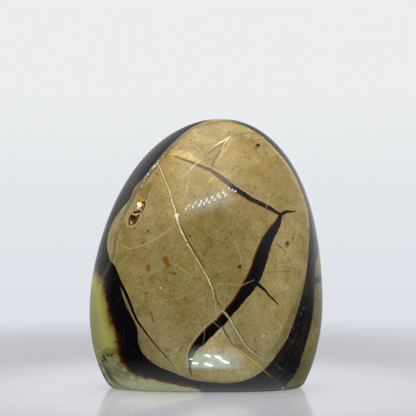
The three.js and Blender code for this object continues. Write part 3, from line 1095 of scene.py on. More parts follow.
def stretched(tree, place, *scale):
    return vector_times(tree, place, scale)


def parts_of(tree, vector):
    """The three numbers of a vector."""
    node = tree.nodes.new("ShaderNodeSeparateXYZ")
    feed(tree, vector, node.inputs[0])
    return node.outputs


def stored(tree, name, part="Fac"):
    node = tree.nodes.new("ShaderNodeAttribute")
    node.attribute_name = name
    return node.outputs[part]


def millimetres(tree):
    """The place on the piece, in millimetres."""
    return stretched(tree, tree.nodes.new("ShaderNodeTexCoord").outputs["Object"], 1 / MM, 1 / MM, 1 / MM)


print("patterns are sized in millimetres,", round(1 / MM), "to a metre")

# %% Node helpers: groups and materials
def new_group(name, inputs, outputs):
    """An empty node group, its inputs and its outputs. Each has a title, a kind and, if an input, a value."""
    group = bpy.data.node_groups.new(name, "ShaderNodeTree")
    for title, kind, value in inputs:
        socket = group.interface.new_socket(title, in_out="INPUT", socket_type="NodeSocket" + kind)
        if value is not None:
            socket.default_value = value
    for title, kind in outputs:
        group.interface.new_socket(title, in_out="OUTPUT", socket_type="NodeSocket" + kind)
    return group, group.nodes.new("NodeGroupInput").outputs, group.nodes.new("NodeGroupOutput").inputs


def placed(tree, group, **values):
    """Places a group in a tree. Inputs are given by their titles, with _ for a space."""
    node = tree.nodes.new("ShaderNodeGroup")
    node.node_tree = group
    for title, value in values.items():
        feed(tree, value, node.inputs[title.replace("_", " ")])
    return node.outputs


def new_material(name):
    """A new material, its tree and its shader."""
    material = bpy.data.materials.new(name)
    material.use_nodes = True
    return material, material.node_tree, material.node_tree.nodes["Principled BSDF"]


print("helpers are ready, and there are", len(bpy.data.node_groups), "groups yet")

# %% [markdown]
# ## Clouds, mottles and grain
# Every mineral of the stone varies at three sizes at once: slow clouds over centimetres, mottles of a few
# millimetres, and a grain as fine as sand. One group makes all three, and each finish sets its own sizes.

# %% Group: clouds, mottles and grain
def make_variation():
    group, given, result = new_group(
        "stone variation",
        [("Place", "Vector", None), ("Stretch", "Vector", (1, 1, 1))],
        [("Clouds", "Float"), ("Mottle", "Float"), ("Grain", "Float"), ("Speck", "Float")],
    )
    place = vector_times(group, given["Place"], given["Stretch"])
    feed(group, noise(group, place, size=24, detail=3, distortion=0.4), result["Clouds"])
    feed(group, noise(group, place, size=4.5, detail=4, roughness=0.6, distortion=0.3), result["Mottle"])
    feed(group, noise(group, place, size=0.6, roughness=0.6), result["Grain"])
    speck_size = times(group, noise(group, place, size=7), 0.36)
    edge = minus(group, speck_size, cells(group, place, 2.1))
    feed(group, eased(group, edge, 0.0, 0.08), result["Speck"])
    return group


variation = make_variation()
print("group:", variation.name)

# %% [markdown]
# ## Line masks
# A stored line becomes a mask by comparing how far to the side a point lies with half the line's width.
# Offset moves the line sideways, which draws the dark shadow line beside the cream vein from the same
# numbers. Spread widens it, for the stain along its edges.

# %% Group: line mask
def make_line_mask():
    group, given, result = new_group(
        "line mask",
        [("Field", "Vector", None), ("Offset", "Float", 0.0), ("Spread", "Float", 0.0),
         ("Softness", "Float", 0.12)],
        [("Mask", "Float"), ("Cover", "Float"), ("Depth", "Float")],
    )
    aside, half_width, strength = parts_of(group, given["Field"])
    across = sums(group, "ABSOLUTE", minus(group, aside, given["Offset"]))
    depth = minus(group, plus(group, half_width, given["Spread"]), across)
    softness = given["Softness"]
    shape = eased(group, depth, times(group, softness, -1.0), softness)
    feed(group, times(group, shape, strength), result["Mask"])
    feed(group, shape, result["Cover"])
    feed(group, depth, result["Depth"])
    return group


line_mask = make_line_mask()
print("group:", line_mask.name)

# %% [markdown]
# ## Mudstone
# The blocks are limy mud turned to stone, olive tan to brown. Besides clouds, mottles and grain it shows
# dark pin specks, pale scratches and wisps of calcite, and faint upright streaks that the polishing brought
# out. Each of these is a thin layer over the last one, as a painter would glaze them.

# %% Group: mudstone
MUD_CLOUDS = [(0.3, "#9a8849"), (0.46, "#a9975a"), (0.58, "#ae9d63"), (0.72, "#bbaf7b")]
MUD_MOTTLES = [(0.28, "#b1a280"), (0.45, "#c6bda4"), (0.6, "#cfc8b5"), (0.75, "#dfd6bf")]
MUD_LEVEL = "#ded8be"  # the mottles are divided by this, so that they don't darken the whole
MUD_GRAIN = [(0.3, "#beb7a3"), (0.5, "#dedad4"), (0.7, "#f8f6f0")]
# Towards the foot the tint is partly the mudstone's own paler, greener tone and partly painted light from the
# floor; towards the crown it is partly a golden tone and partly painted light from above.
FOOT_TINT_AND_FLOOR_LIGHT = (1.3, 1.45, 1.66, 1.0)  # the mudstone is paler and greener towards its foot
FOOT_HEIGHTS = (4, 66)
CROWN_TINT_AND_TOP_LIGHT = (1.07, 1.03, 0.93, 1.0)  # and a little more golden towards its crown
CROWN_HEIGHTS = (62, 84)


def mud_body(group, parts):
    """The mudstone's own colour, with clouds, mottles and grain."""
    colour = graded(group, parts["Clouds"], MUD_CLOUDS)
    colour = layered(group, 1.0, colour, graded(group, parts["Mottle"], MUD_MOTTLES), "MULTIPLY")
    colour = layered(group, 1.0, colour, MUD_LEVEL, "DIVIDE")
    return layered(group, 0.8, colour, graded(group, parts["Grain"], MUD_GRAIN), "MULTIPLY")


def mud_marks(group, place, parts, colour):
    """Streaks, wisps, specks, crumbs, pin holes and iron stains over a colour."""
    streaks = noise(group, stretched(group, place, 1.0, 1.0, 0.07), size=1.1, roughness=0.6)
    colour = layered(group, eased(group, streaks, 0.55, 0.75, 0.0, 0.22), colour, "#7d6c3e")
    winding = noise(group, place, size=7.5, detail=3, roughness=0.55, distortion=1.2)
    wisp = sums(group, "ABSOLUTE", minus(group, winding, 0.5))
    where = noise(group, stretched(group, place, 1.3, 1.3, 1.3), size=9, detail=1)
    wisp = times(group, eased(group, wisp, 0.0, 0.009, 0.25, 0.0), eased(group, where, 0.52, 0.68))
    colour = layered(group, wisp, colour, "#d2c296")
    colour = layered(group, times(group, parts["Speck"], 0.55), colour, "#51421f")
    crumbs = eased(group, cells(group, place, 2.6), 0.03, 0.07, 0.45, 0.0)
    colour = layered(group, crumbs, colour, "#e6dcb4")
    pins = cells(group, stretched(group, place, 1.0, 1.3, 0.8), 1.7)
    colour = layered(group, eased(group, pins, 0.06, 0.12, 0.35, 0.0), colour, "#5d4c26")
    stain = noise(group, place, size=13, distortion=0.5)
    return layered(group, eased(group, stain, 0.6, 0.78, 0.0, 0.45), colour, "#8d6c2e")


def make_mudstone():
    group, given, result = new_group(
        "mudstone", [("Place", "Vector", None)], [("Colour", "Color"), ("Height", "Float")],
    )
    place = given["Place"]
    parts = placed(group, variation, Place=place)
    colour = mud_marks(group, place, parts, mud_body(group, parts))
    height = parts_of(group, place)[2]
    # painted light over the mudstone's own tone: paler towards the foot and more golden towards the crown
    colour = layered(group, eased(group, height, *FOOT_HEIGHTS, 1.0, 0.0), colour, FOOT_TINT_AND_FLOOR_LIGHT, "MULTIPLY")
    colour = layered(group, eased(group, height, *CROWN_HEIGHTS), colour, CROWN_TINT_AND_TOP_LIGHT, "MULTIPLY")
    feed(group, colour, result["Colour"])
    feed(group, plus(group, parts["Grain"], times(group, parts["Mottle"], 0.5)), result["Height"])
    return group


mudstone = make_mudstone()
print("group:", mudstone.name)

# %% [markdown]
# ## Dark calcite
# The crack lining is calcite full of iron, black where it is thick and glowing red brown where it thins out
# towards its edge. Its colour therefore follows the depth below its own edge, a number that the stone's
# material hands in, so the same group also paints the wide crack. A web of healed cracks and grey flecks
# runs through it, and on the right of the stone it is muddier and rustier.

# %% Group: dark calcite
DARK_DEPTHS = [(0.0, "#8c6a22"), (0.1, "#664312"), (0.25, "#38210d"), (0.45, "#1a100b"), (0.8, "#0b0b0e")]


def make_dark_calcite():
    group, given, result = new_group(
        "dark calcite", [("Place", "Vector", None), ("Depth", "Float", 1.0), ("Glow", "Float", 1.0)],
        [("Colour", "Color")],
    )
    place = given["Place"]
    aside, _, height = parts_of(group, place)
    parts = placed(group, variation, Place=place)
    steepness = eased(group, height, 10, 22, 0.2, 0.24)
    loosened = times_plus(group, parts["Mottle"], 1.2, minus(group, given["Depth"], 0.6))
    colour = graded(group, sums(group, "MULTIPLY", loosened, steepness, clamp=True), DARK_DEPTHS)
    halved = stretched(group, place, 1.0, 1.0, 0.5)
    glow = eased(group, noise(group, halved, size=6, detail=3, roughness=0.6), 0.54, 0.7, 0.0, 0.6)
    colour = layered(group, times(group, glow, given["Glow"]), colour, "#301a0f")
    web = eased(group, cells(group, place, 5.5, "DISTANCE_TO_EDGE"), 0.0, 0.018, 1.0, 0.0)
    where = eased(group, noise(group, place, size=8), 0.5, 0.66, 0.0, 0.35)
    colour = layered(group, times(group, web, where), colour, "#544a2c")
    flecks = noise(group, place, size=0.8, detail=3, roughness=0.75)
    colour = layered(group, eased(group, flecks, 0.66, 0.8, 0.0, 0.6), colour, "#5d5440")
    right = eased(group, aside, 12, 26, 0.0, given["Glow"])
    muddy = noise(group, stretched(group, place, 1.0, 1.0, 0.7), size=1.5, detail=4, roughness=0.7)
    muddy = eased(group, muddy, 0.5, 0.68, 0.0, 0.55)
    colour = layered(group, times(group, muddy, right), colour, "#423c2c")
    rusty = eased(group, noise(group, halved, size=4.2, detail=3, roughness=0.6), 0.54, 0.66, 0.0, 0.6)
    feed(group, layered(group, times(group, rusty, right), colour, "#2f1c11"), result["Colour"])
    return group


dark_calcite = make_dark_calcite()
print("group:", dark_calcite.name)

# %% [markdown]
# ## Yellow calcite
# The yellow calcite that filled the rest of the crack is milky yellow green, cloudy, and drawn out in soft
# bands along the crack. The bands follow the depth below its edge, which noise has made wavy. Towards the
# foot it turns milkier, where light from the floor comes through it.

# %% Group: yellow calcite
YELLOW_DEPTHS = [(0.0, "#7b5a20"), (0.05, "#847a36"), (0.18, "#9f994c"), (0.4, "#aba758"), (0.75, "#9c9a5e")]
YELLOW_GRAIN = [(0.3, "#dcdccc"), (0.55, "#ffffff")]


def make_yellow_calcite():
    group, given, result = new_group(
        "yellow calcite", [("Place", "Vector", None), ("Depth", "Float", 1.0)], [("Colour", "Color")],
    )
    place = given["Place"]
    height = parts_of(group, place)[2]
    parts = placed(group, variation, Place=place, Stretch=(1.5, 1.5, 0.6))
    wavy = times_plus(group, parts["Mottle"], 3.0, minus(group, given["Depth"], 1.5))
    colour = graded(group, sums(group, "MULTIPLY", wavy, 0.1, clamp=True), YELLOW_DEPTHS)
    foot = eased(group, height, 9, 15, 0.75, 0.0)
    colour = layered(group, foot, colour, "#7f805d")
    colour = layered(group, eased(group, height, 2.5, 6.5, 0.85, 0.0), colour, "#ccca90")
    milk = noise(group, stretched(group, place, 1.0, 1.0, 1.6), size=3.2, detail=3, roughness=0.6)
    milk = times(group, eased(group, milk, 0.4, 0.66, 0.0, 0.85), foot)
    colour = layered(group, milk, colour, "#cfd19c")
    colour = layered(group, 0.6, colour, graded(group, parts["Grain"], YELLOW_GRAIN), "MULTIPLY")
    crack = eased(group, cells(group, place, 6.5, "DISTANCE_TO_EDGE"), 0.0, 0.015, 0.2, 0.0)
    feed(group, layered(group, crack, colour, "#d3cf9c"), result["Colour"])
    return group


yellow_calcite = make_yellow_calcite()
print("group:", yellow_calcite.name)

# %% [markdown]
# ## The polished stone
# One material covers the whole stone, because one polish does. It picks a mineral by the stored distances,
# after a little noise has roughened the outlines: the dark calcite grew as teeth into the yellow, so that
# edge is ragged, while the edge of a mudstone block is nearly clean. Separate pieces for each mineral would
# show seams where the real stone has none.

# %% Material: where each mineral lies
polished, tree, stone_shader = new_material("polished_septarian")
place = millimetres(tree)
fine = minus(tree, noise(tree, place, size=1.1, detail=3, roughness=0.6), 0.5)
broad = minus(tree, noise(tree, place, size=5), 0.5)
teeth = minus(tree, noise(tree, stretched(tree, place, 0.6, 0.6, 1.0), size=1.6), 0.5)
clean_edge = plus(tree, times(tree, fine, 0.45), times(tree, broad, 0.5))
toothed_edge = times_plus(tree, fine, 1.8, times(tree, broad, 1.4))
toothed_edge = times_plus(tree, teeth, 2.6, toothed_edge)

in_face = plus(tree, stored(tree, "face"), clean_edge)
in_block = plus(tree, stored(tree, "block"), clean_edge)
in_mud = sums(tree, "MAXIMUM", in_face, in_block)
in_yellow = plus(tree, stored(tree, "yellow"), toothed_edge)
print("the minerals are told apart with", len(tree.nodes), "nodes")

# %% Material: the minerals' colours
MUD_EDGE = 0.07  # a block's edge is this sharp, and the yellow calcite's edge a little softer
YELLOW_EDGE = 0.15
PALE_TINT = (1.28, 1.26, 1.2, 1.0)  # the mudstone is paler in its pale zones
BLOCK_TINT = (0.66, 0.61, 0.54, 1.0)  # the outer blocks are browner than the middle one

mud = placed(tree, mudstone, Place=place)
dark = placed(tree, dark_calcite, Place=place, Depth=times(tree, in_yellow, -1.0))["Colour"]
yellow = placed(tree, yellow_calcite, Place=place, Depth=in_yellow)["Colour"]
calcite = layered(tree, eased(tree, in_yellow, -YELLOW_EDGE, YELLOW_EDGE), dark, yellow)

rim = times(tree, eased(tree, in_mud, 0.1, 1.8, 0.55, 0.0), eased(tree, broad, -0.1, 0.12))
mud_colour = layered(tree, rim, mud["Colour"], "#6a5e31")
pale = eased(tree, times_plus(tree, broad, 6.0, stored(tree, "pale_zone")), -4.0, 3.0)
mud_colour = layered(tree, pale, mud_colour, PALE_TINT, "MULTIPLY")
mud_colour = layered(tree, eased(tree, in_block, -MUD_EDGE, MUD_EDGE), mud_colour, BLOCK_TINT, "MULTIPLY")
gold = placed(
    tree, line_mask, Field=stored(tree, "gold_zone", "Vector"), Softness=0.6, Spread=times(tree, fine, 3.0),
)["Mask"]
gold = times(tree, gold, eased(tree, fine, -0.2, 0.2, 0.3, 0.75))
mud_colour = layered(tree, gold, mud_colour, "#d2b06c")
slot_fill = placed(tree, line_mask, Field=stored(tree, "slot_fill", "Vector"), Softness=0.3)["Mask"]
mud_colour = layered(tree, times(tree, slot_fill, 0.75), mud_colour, "#6c5f34")

mud_mask = eased(tree, in_mud, -MUD_EDGE, MUD_EDGE)
colour = layered(tree, mud_mask, calcite, mud_colour)
cloudy = eased(tree, broad, -0.15, 0.15, 0.75, 1.0)
# the stored clouds, which also carry painted light and sheen
colour = layered(tree, cloudy, colour, stored(tree, "clouds", "Vector"), "MULTIPLY")
print("with the minerals' colours the tree has", len(tree.nodes), "nodes")

# %% [markdown]
# ## Cracks, veins and spots over the minerals
# The wide crack comes next: grey brown where its listed darkness is low and dark calcite where it is high,
# with a rusty line and a brown one along its left side. On its upper left the grey brown is partly thin
# calcite and partly a painted reflection of the bright sky. Veins, hairlines and spots come on top, each as a
# flat colour under its mask. A few masks are broken up by noise, because real veins are made of grains and
# not drawn with a pen.

# %% Material: the wide crack
def line_share(name, strength=1.0, **settings):
    """The mask of a stored line, times a strength."""
    mask = placed(tree, line_mask, Field=stored(tree, name, "Vector"), **settings)["Mask"]
    return times(tree, mask, strength)


scratched = line_share("scratches", times_plus(tree, mud_mask, 0.5, 0.05), Softness=0.08)
colour = layered(tree, scratched, colour, "#cbbb88")

frayed = times(tree, fine, 0.85)
septum = placed(tree, line_mask, Field=stored(tree, "septum", "Vector"), Offset=frayed, Softness=0.08)
septum_aside, _, septum_strength = parts_of(tree, stored(tree, "septum", "Vector"))
septum_dark = placed(tree, dark_calcite, Place=place, Depth=3.0, Glow=0.0)["Colour"]
# low darkness gives grey brown: partly thin calcite, partly a painted reflection of the sky on the crack's
# upper left
septum_colour = layered(tree, eased(tree, septum_strength, 0.2, 1.0), "#63573a", septum_dark)
left_side = eased(tree, septum_aside, -0.5, -1.0)
septum_depth = plus(tree, septum["Depth"], frayed)
brown = times(tree, eased(tree, septum_depth, 0.5, 1.3, 0.8, 0.0), left_side)
septum_colour = layered(tree, brown, septum_colour, "#28150c")
rust = times(tree, eased(tree, septum_depth, 0.15, 0.5, 0.9, 0.0), left_side)
septum_colour = layered(tree, rust, septum_colour, "#7c481b")
colour = layered(tree, septum["Cover"], colour, septum_colour)
thin_cracks = line_share("dark_cracks", Softness=0.06)
colour = layered(tree, thin_cracks, colour, "#0e0907")
print("with the cracks the tree has", len(tree.nodes), "nodes")

# %% Material: veins, stains and hairlines
streaky = noise(tree, stretched(tree, place, 1.0, 1.0, 0.4), size=0.9, detail=3, roughness=0.65)
green = times(tree, times_plus(tree, mud_mask, 0.4, 0.55), eased(tree, streaky, 0.35, 0.6, 0.65, 1.1))
patchy = noise(tree, stretched(tree, place, 1.0, 1.0, 0.7), size=1.3, detail=4, roughness=0.75)
broken = eased(tree, patchy, 0.48, 0.6)
crumbly = eased(tree, noise(tree, place, size=0.5, detail=3, roughness=0.7), 0.38, 0.58, 0.35, 1.15)
bent = times(tree, fine, 0.5)
wavering = times(tree, fine, 0.8)
beside = plus(tree, wavering, 0.36)
stain_fray = times(tree, fine, 1.6)
rim_shade_fray = times_plus(tree, fine, 0.8, 0.35)
LAYERS = [  # a stored line, its colour and strength, and how its mask is set, from the lowest layer up
    ("green_vein", "#525238", green, {"Softness": 0.3, "Offset": frayed}),
    ("stains", "#33190c", 1.0, {"Softness": 0.5, "Spread": stain_fray}),
    # the painted shade and dim reflection along the lowest left rim
    ("left_rim_shade", "#45474c", 0.75, {"Softness": 1.3, "Offset": 0.9, "Spread": rim_shade_fray}),
    ("dark_hairs", "#3c3420", 0.9, {}),
    ("pale_hairs", "#cdb985", 0.9, {"Softness": 0.1}),
    ("crown_veins", "#d8cfae", 1.0, {"Offset": times(tree, fine, 0.7)}),
    ("crown_twigs", "#cbbd8e", 1.0, {"Offset": bent}),
    ("flecked", "#cdd0bf", broken, {"Softness": 0.2, "Offset": frayed}),
    ("gold_vein", "#54461f", 0.5, {"Offset": bent, "Spread": 0.22, "Softness": 0.2}),
    ("gold_vein", "#dcb250", 1.0, {"Offset": bent}),
    ("cream_vein", "#83703f", 0.6, {"Offset": wavering, "Spread": 0.35, "Softness": 0.25}),
    ("cream_vein", "#3f341c", 0.75, {"Offset": beside, "Spread": -0.02}),
    ("cream_vein", "#e6dab0", crumbly, {"Offset": wavering}),
    ("rust_band", "#ba7c14", 1.0, {"Softness": 0.18, "Offset": wavering}),
]

for name, code, strength, settings in LAYERS:
    colour = layered(tree, line_share(name, strength, **settings), colour, code)
print("with", len(LAYERS), "layers of lines the tree has", len(tree.nodes), "nodes")

# %% Material: spots and the pocket's wall
SPOT_PAINTS = [  # stored spots, their colour, strength and softness
    ("amber_spots", "#7c5002", 0.95, 0.4),
    ("dark_spots", "#2b2213", 0.85, 0.15),
    # pale spots, and one painted highlight
    ("pale_spots_and_glint", "#efe9cf", 0.8, 0.15),
]

for name, code, strength, softness in SPOT_PAINTS:
    reach = plus(tree, stored(tree, name), wavering)
    colour = layered(tree, eased(tree, reach, -softness, softness, 0.0, strength), colour, code)

halo = eased(tree, plus(tree, stored(tree, "hole"), times(tree, fine, 1.4)), 0.1, 0.55, 0.65, 0.0)
colour = layered(tree, halo, colour, "#c2ab76")
wall = eased(tree, stored(tree, "pocket"), -0.12, 0.02, 1.0, 0.0)
colour = layered(tree, wall, colour, "#6b4322")
print("with the spots the tree has", len(tree.nodes), "nodes")

# %% [markdown]
# ## The polish
# Calcite takes a glassy polish and mudstone a slightly softer one, and the pocket's wall has none. Under a
# real polish a stone still undulates by a few hundredths of a millimetre, which makes the edge of a
# reflection tremble. A bump that faint is enough for it.

# %% Material: gloss and bump
CALCITE_ROUGHNESS = 0.032
MUD_ROUGHNESS = 0.008  # what mudstone and the pocket's wall add to it
WALL_ROUGHNESS = 0.4
BUMP_STRENGTH = 0.02
BUMP_HEIGHT = 0.03
CRACK_SINK = 2.0  # the thin cracks lie lower by this many times the grain
STONE_IOR = 1.5

uneven = eased(tree, noise(tree, place, size=3, detail=4, roughness=0.6), 0.3, 0.7, -0.004, 0.008)
roughness = plus(tree, times_plus(tree, mud_mask, MUD_ROUGHNESS, CALCITE_ROUGHNESS), uneven)
roughness = plus(tree, roughness, times(tree, wall, WALL_ROUGHNESS))
bump = tree.nodes.new("ShaderNodeBump")
bump.inputs["Strength"].default_value = BUMP_STRENGTH
bump.inputs["Distance"].default_value = BUMP_HEIGHT * MM
feed(tree, minus(tree, mud["Height"], times(tree, thin_cracks, CRACK_SINK)), bump.inputs["Height"])
feed(tree, colour, stone_shader.inputs["Base Color"])
feed(tree, roughness, stone_shader.inputs["Roughness"])
feed(tree, bump.outputs[0], stone_shader.inputs["Normal"])
stone_shader.inputs["IOR"].default_value = STONE_IOR

stone.data.materials.clear()
stone.data.materials.append(polished)
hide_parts("nodule")
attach(stone, "root")
print("the stone's material has", len(tree.nodes), "nodes")

# %% [markdown]
# ## The crystals in the pocket
# A crust of honey calcite lines the pocket, and dogtooth crystals stand on it: six-sided spikes, widest
# near their foot. The crust is an ellipsoid a little smaller than the hollow, opened towards the mouth and
# shaken so that its facets catch the light. Each crystal is placed with a fixed seed, so that every run
# gives the same crust, and carries its own shade.

# %% Crust
GAP = 0.3  # clearance between the stone and the crust
SUNK = 0.55  # the crust stays this far below the polished face
SHAKE = 0.45  # a point of the crust moves up to this far towards the pocket's mouth
chance = random.Random(7)


def depth_below_face(point):
    near, outward, _, _ = skin_tree.find_nearest(point)
    return (near - point).dot(outward)


def in_lobe(point, lobe, inset):
    local = pocket_frame(lobe).inverted() @ point
    return sum((part / axis) ** 2 for part, axis in zip(local, lobe_axes(lobe, inset))) < 1


def crust_wall(lobe, other):
    """The shaken inside of a lobe, without what reaches the mouth or stands in the other lobe."""
    wall = ball(pocket_frame(lobe), lobe_axes(lobe, GAP), LOBE_FINENESS)
    middle, _ = on_front(lobe["x"], lobe["z"])
    for vertex in wall.verts:
        vertex.co += (middle - vertex.co).normalized() * chance.uniform(0.0, SHAKE)
    middles = [(face, face.calc_center_median()) for face in wall.faces]
    faces = [face for face, spot in middles if depth_below_face(spot) < SUNK or in_lobe(spot, other, GAP)]
    bmesh.ops.delete(wall, geom=faces, context="FACES")
    bmesh.ops.reverse_faces(wall, faces=wall.faces)
    wall.verts.index_update()
    points = [vertex.co.copy() for vertex in wall.verts]
    corners = [[vertex.index for vertex in face.verts] for face in wall.faces]
    wall.free()
    return points, corners


print("the crust keeps", GAP, "mm from the stone and", SUNK, "mm from the face")

# %% One crystal
SIDES = 6
DOGTOOTH_RINGS = [(0.0, 0.6), (0.3, 1.0), (0.72, 0.5)]  # a share of the length, and of the width there
DOGTOOTH_TURN = 14  # degrees


def dogtooth(foot, axis, length, width):
    """Points and faces of one crystal."""
    side = axis.orthogonal().normalized()
    other = axis.cross(side)
    points = []
    for rise, spread in DOGTOOTH_RINGS:
        for corner in range(SIDES):
            turn = math.radians(360 / SIDES * corner + DOGTOOTH_TURN)
            out = (side * math.cos(turn) + other * math.sin(turn)) * width / 2 * spread
            points.append(foot + axis * length * rise + out)
    points.append(foot + axis * length)
    tip = len(points) - 1
    faces = [list(reversed(range(SIDES)))]
    for low in range(0, tip - SIDES, SIDES):
        faces += [[low + corner, low + (corner + 1) % SIDES, low + SIDES + (corner + 1) % SIDES,
                   low + SIDES + corner] for corner in range(SIDES)]
    last = tip - SIDES
    faces += [[last + corner, last + (corner + 1) % SIDES, tip] for corner in range(SIDES)]
    return points, faces


print("a crystal has", len(DOGTOOTH_RINGS) * SIDES + 1, "points")

# %% Crystals
CRYSTALS_PER_LOBE = 46
CRYSTAL_LENGTHS = (0.9, 2.2)
CRYSTAL_WIDTHS = (0.5, 1.15)
CRYSTAL_LEAN = 0.5  # sideways, as a share of the way in
SHALLOWEST = 0.15  # 1 is the bottom of the pocket and 0 its mouth
ROOTED = 0.15  # crystals stand this far inside the crust's own face
SHORTEST = 0.4
SHORTENED = 0.85  # a crystal that stands out is shortened by this until it fits
CRUST_TONE = 0.2
TONES = [0.2, 0.35, 0.5, 0.62]  # brown, honey, amber and cream
LONE_CRYSTALS = [  # foot and tip in the camera's view, each with its depth, then width and tone
    # the first crystal's tone, past cream, paints its bright face near white: a painted highlight
    ((141.2, 201.6), 0.9, (135.6, 211.4), 0.9, 2.15, 1.2),
    ((144.6, 203.6), 0.9, (139.2, 211.8), 1, 0.6, 0.46),
    ((131.2, 212.6), 0.7, (135.2, 214.8), 0.6, 0.6, 0.8),
    ((135, 215), 0.6, (139, 213.6), 0.6, 0.6, 0.85),
    ((130.2, 219.5), 1.2, (131.4, 224), 1.3, 0.7, 0.75),
]


def crystals_on(lobe, other):
    """The crystals of a lobe, each with its tone, without those that don't fit."""
    place = pocket_frame(lobe)
    axes = lobe_axes(lobe, GAP + ROOTED)
    for _ in range(CRYSTALS_PER_LOBE):
        turn = chance.uniform(0, math.tau)
        tilt = math.acos(chance.uniform(SHALLOWEST, 1))
        out = Vector((math.sin(tilt) * math.cos(turn), -math.cos(tilt), math.sin(tilt) * math.sin(turn)))
        foot = place @ Vector(part * axis for part, axis in zip(out, axes))
        lean = Vector([chance.uniform(-CRYSTAL_LEAN, CRYSTAL_LEAN) for _ in range(3)])
        axis = (place.to_3x3() @ (-out + lean)).normalized()
        length = chance.uniform(*CRYSTAL_LENGTHS)
        while length > SHORTEST and depth_below_face(foot + axis * length) < SUNK:
            length *= SHORTENED
        if depth_below_face(foot) < SUNK or in_lobe(foot, other, 2 * GAP):
            continue
        width = chance.uniform(*CRYSTAL_WIDTHS)
        yield *dogtooth(foot, axis, length, width), chance.choice(TONES)


def lone_crystals():
    """The few large crystals whose places are known."""
    for foot_pixel, foot_sunk, tip_pixel, tip_sunk, width, tone in LONE_CRYSTALS:
        foot = Vector(seen(foot_pixel)[0]) + Vector((0, foot_sunk, 0))
        tip = Vector(seen(tip_pixel)[0]) + Vector((0, tip_sunk, 0))
        yield *dogtooth(foot, (tip - foot).normalized(), (tip - foot).length, width), tone


print("a lone crystal is up to", max(crystal[4] for crystal in LONE_CRYSTALS), "mm wide")

# %% Crust and crystals together
def crust_pieces():
    for lobe, other in (LOBES, LOBES[::-1]):
        yield *crust_wall(lobe, other), CRUST_TONE
        yield from crystals_on(lobe, other)
    yield from lone_crystals()


crust_points, crust_faces, crust_tones = [], [], []
for points, faces, tone in crust_pieces():
    start = len(crust_points)
    crust_points += points
    crust_faces += [[start + index for index in face] for face in faces]
    crust_tones += [tone] * len(faces)
crystals = add_mesh("calcite_crystals", crust_points, crust_faces)
tone_layer = crystals.data.attributes.new("tone", "FLOAT", "FACE")
tone_layer.data.foreach_set("value", crust_tones[:len(crystals.data.polygons)])
print("the crust has", len(crust_faces), "faces")

# %% [markdown]
# ## Honey calcite
# The crystals are clear to milky, stained honey brown by iron and paler at their tips. They are small and sit
# in shade, so a glossy body colour that varies from crystal to crystal shows them better than true glass
# would. The palest crystal is painted near white and also glows a little: a painted highlight and glint, for
# the light from above that its face mirrors.

# %% Material: honey calcite
HONEY_SHADES = [
    (0.1, "#3a2113"), (0.3, "#6f5228"), (0.44, "#b0721a"), (0.55, "#c09456"), (0.75, "#e4cc9c"),
    (1.0, "#fff2cf"),
]
# a painted glint: only the palest crystal glows, for the light from above that it mirrors
GLINTS = [(0.0, "#000000"), (0.95, "#000000"), (1.0, "#e8d8a8")]  # by tone: only the palest crystal glows
GLINT_STRENGTH = 0.5
CRYSTAL_IOR = 1.6


def honey_calcite():
    material, tree, shader = new_material("honey_calcite")
    parts = placed(tree, variation, Place=millimetres(tree), Stretch=(3, 3, 3))
    tone = stored(tree, "tone")
    shade = times_plus(tree, parts["Mottle"], 0.3, minus(tree, tone, 0.15))
    feed(tree, graded(tree, shade, HONEY_SHADES), shader.inputs["Base Color"])
    feed(tree, eased(tree, parts["Grain"], 0.3, 0.7, 0.06, 0.22), shader.inputs["Roughness"])
    feed(tree, graded(tree, tone, GLINTS), shader.inputs["Emission Color"])
    shader.inputs["Emission Strength"].default_value = GLINT_STRENGTH
    shader.inputs["IOR"].default_value = CRYSTAL_IOR
    return material


crystals.data.materials.append(honey_calcite())
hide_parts("vug_crystals")
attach(crystals, "root")
print("crystals stand in the pocket")

# %% [markdown]
# ## The floor
# The stone stands on a plain pale floor with a soft shine. It is a wide disc that fades out to nothing, so
# that floor and background meet without a line from any side.

# %% Floor
FLOOR_RADIUS = 700
FLOOR_SEGMENTS = 96
FLOOR_ROUGHNESS = 0.12
FADE_START = 120
FADE_END = 420
FLOOR_GLOW = 0.31  # near the stone, for light that comes up through and across the floor
FAR_GLOW = 0.08
GLOW_START = 40  # from here outwards the glow falls from the first to the second
GLOW_END = 130


def floor_material():
    material, tree, shader = new_material("pale_floor")
    length = tree.nodes.new("ShaderNodeVectorMath")
    length.operation = "LENGTH"
    feed(tree, millimetres(tree), length.inputs[0])
    distance = length.outputs["Value"]
    feed(tree, eased(tree, distance, FADE_START, FADE_END, 1.0, 0.0), shader.inputs["Alpha"])
    shader.inputs["Base Color"].default_value = paint("#7b7c80")
    shader.inputs["Roughness"].default_value = FLOOR_ROUGHNESS
    shader.inputs["Emission Color"].default_value = paint("#f2f3f8")
    glow = eased(tree, distance, GLOW_START, GLOW_END, FLOOR_GLOW, FAR_GLOW)
    feed(tree, glow, shader.inputs["Emission Strength"])
    return material


def add_floor():
    made = bmesh.new()
    bmesh.ops.create_circle(
        made, cap_ends=True, cap_tris=True, segments=FLOOR_SEGMENTS, radius=FLOOR_RADIUS * MM,
    )
    mesh = bpy.data.meshes.new("floor")
    made.to_mesh(mesh)
    made.free()
    mesh.materials.append(floor_material())
    floor = linked("floor", mesh)
    floor.visible_glossy = False


add_floor()
print("floor radius", FLOOR_RADIUS, "mm")

# %% [markdown]
# ## Light
# Polished stone shows its surroundings, so what it reflects matters as much as what lights it. The two are
# kept apart here. A broad soft lamp above, a small one low at the front right and a dim surround light the
# stone, and only light it. What shines on the polish is a bright sky of its own, with an edge that runs
# across the face, and a double row of small lamps in front of that edge, which shows as a row of short
# dashes.

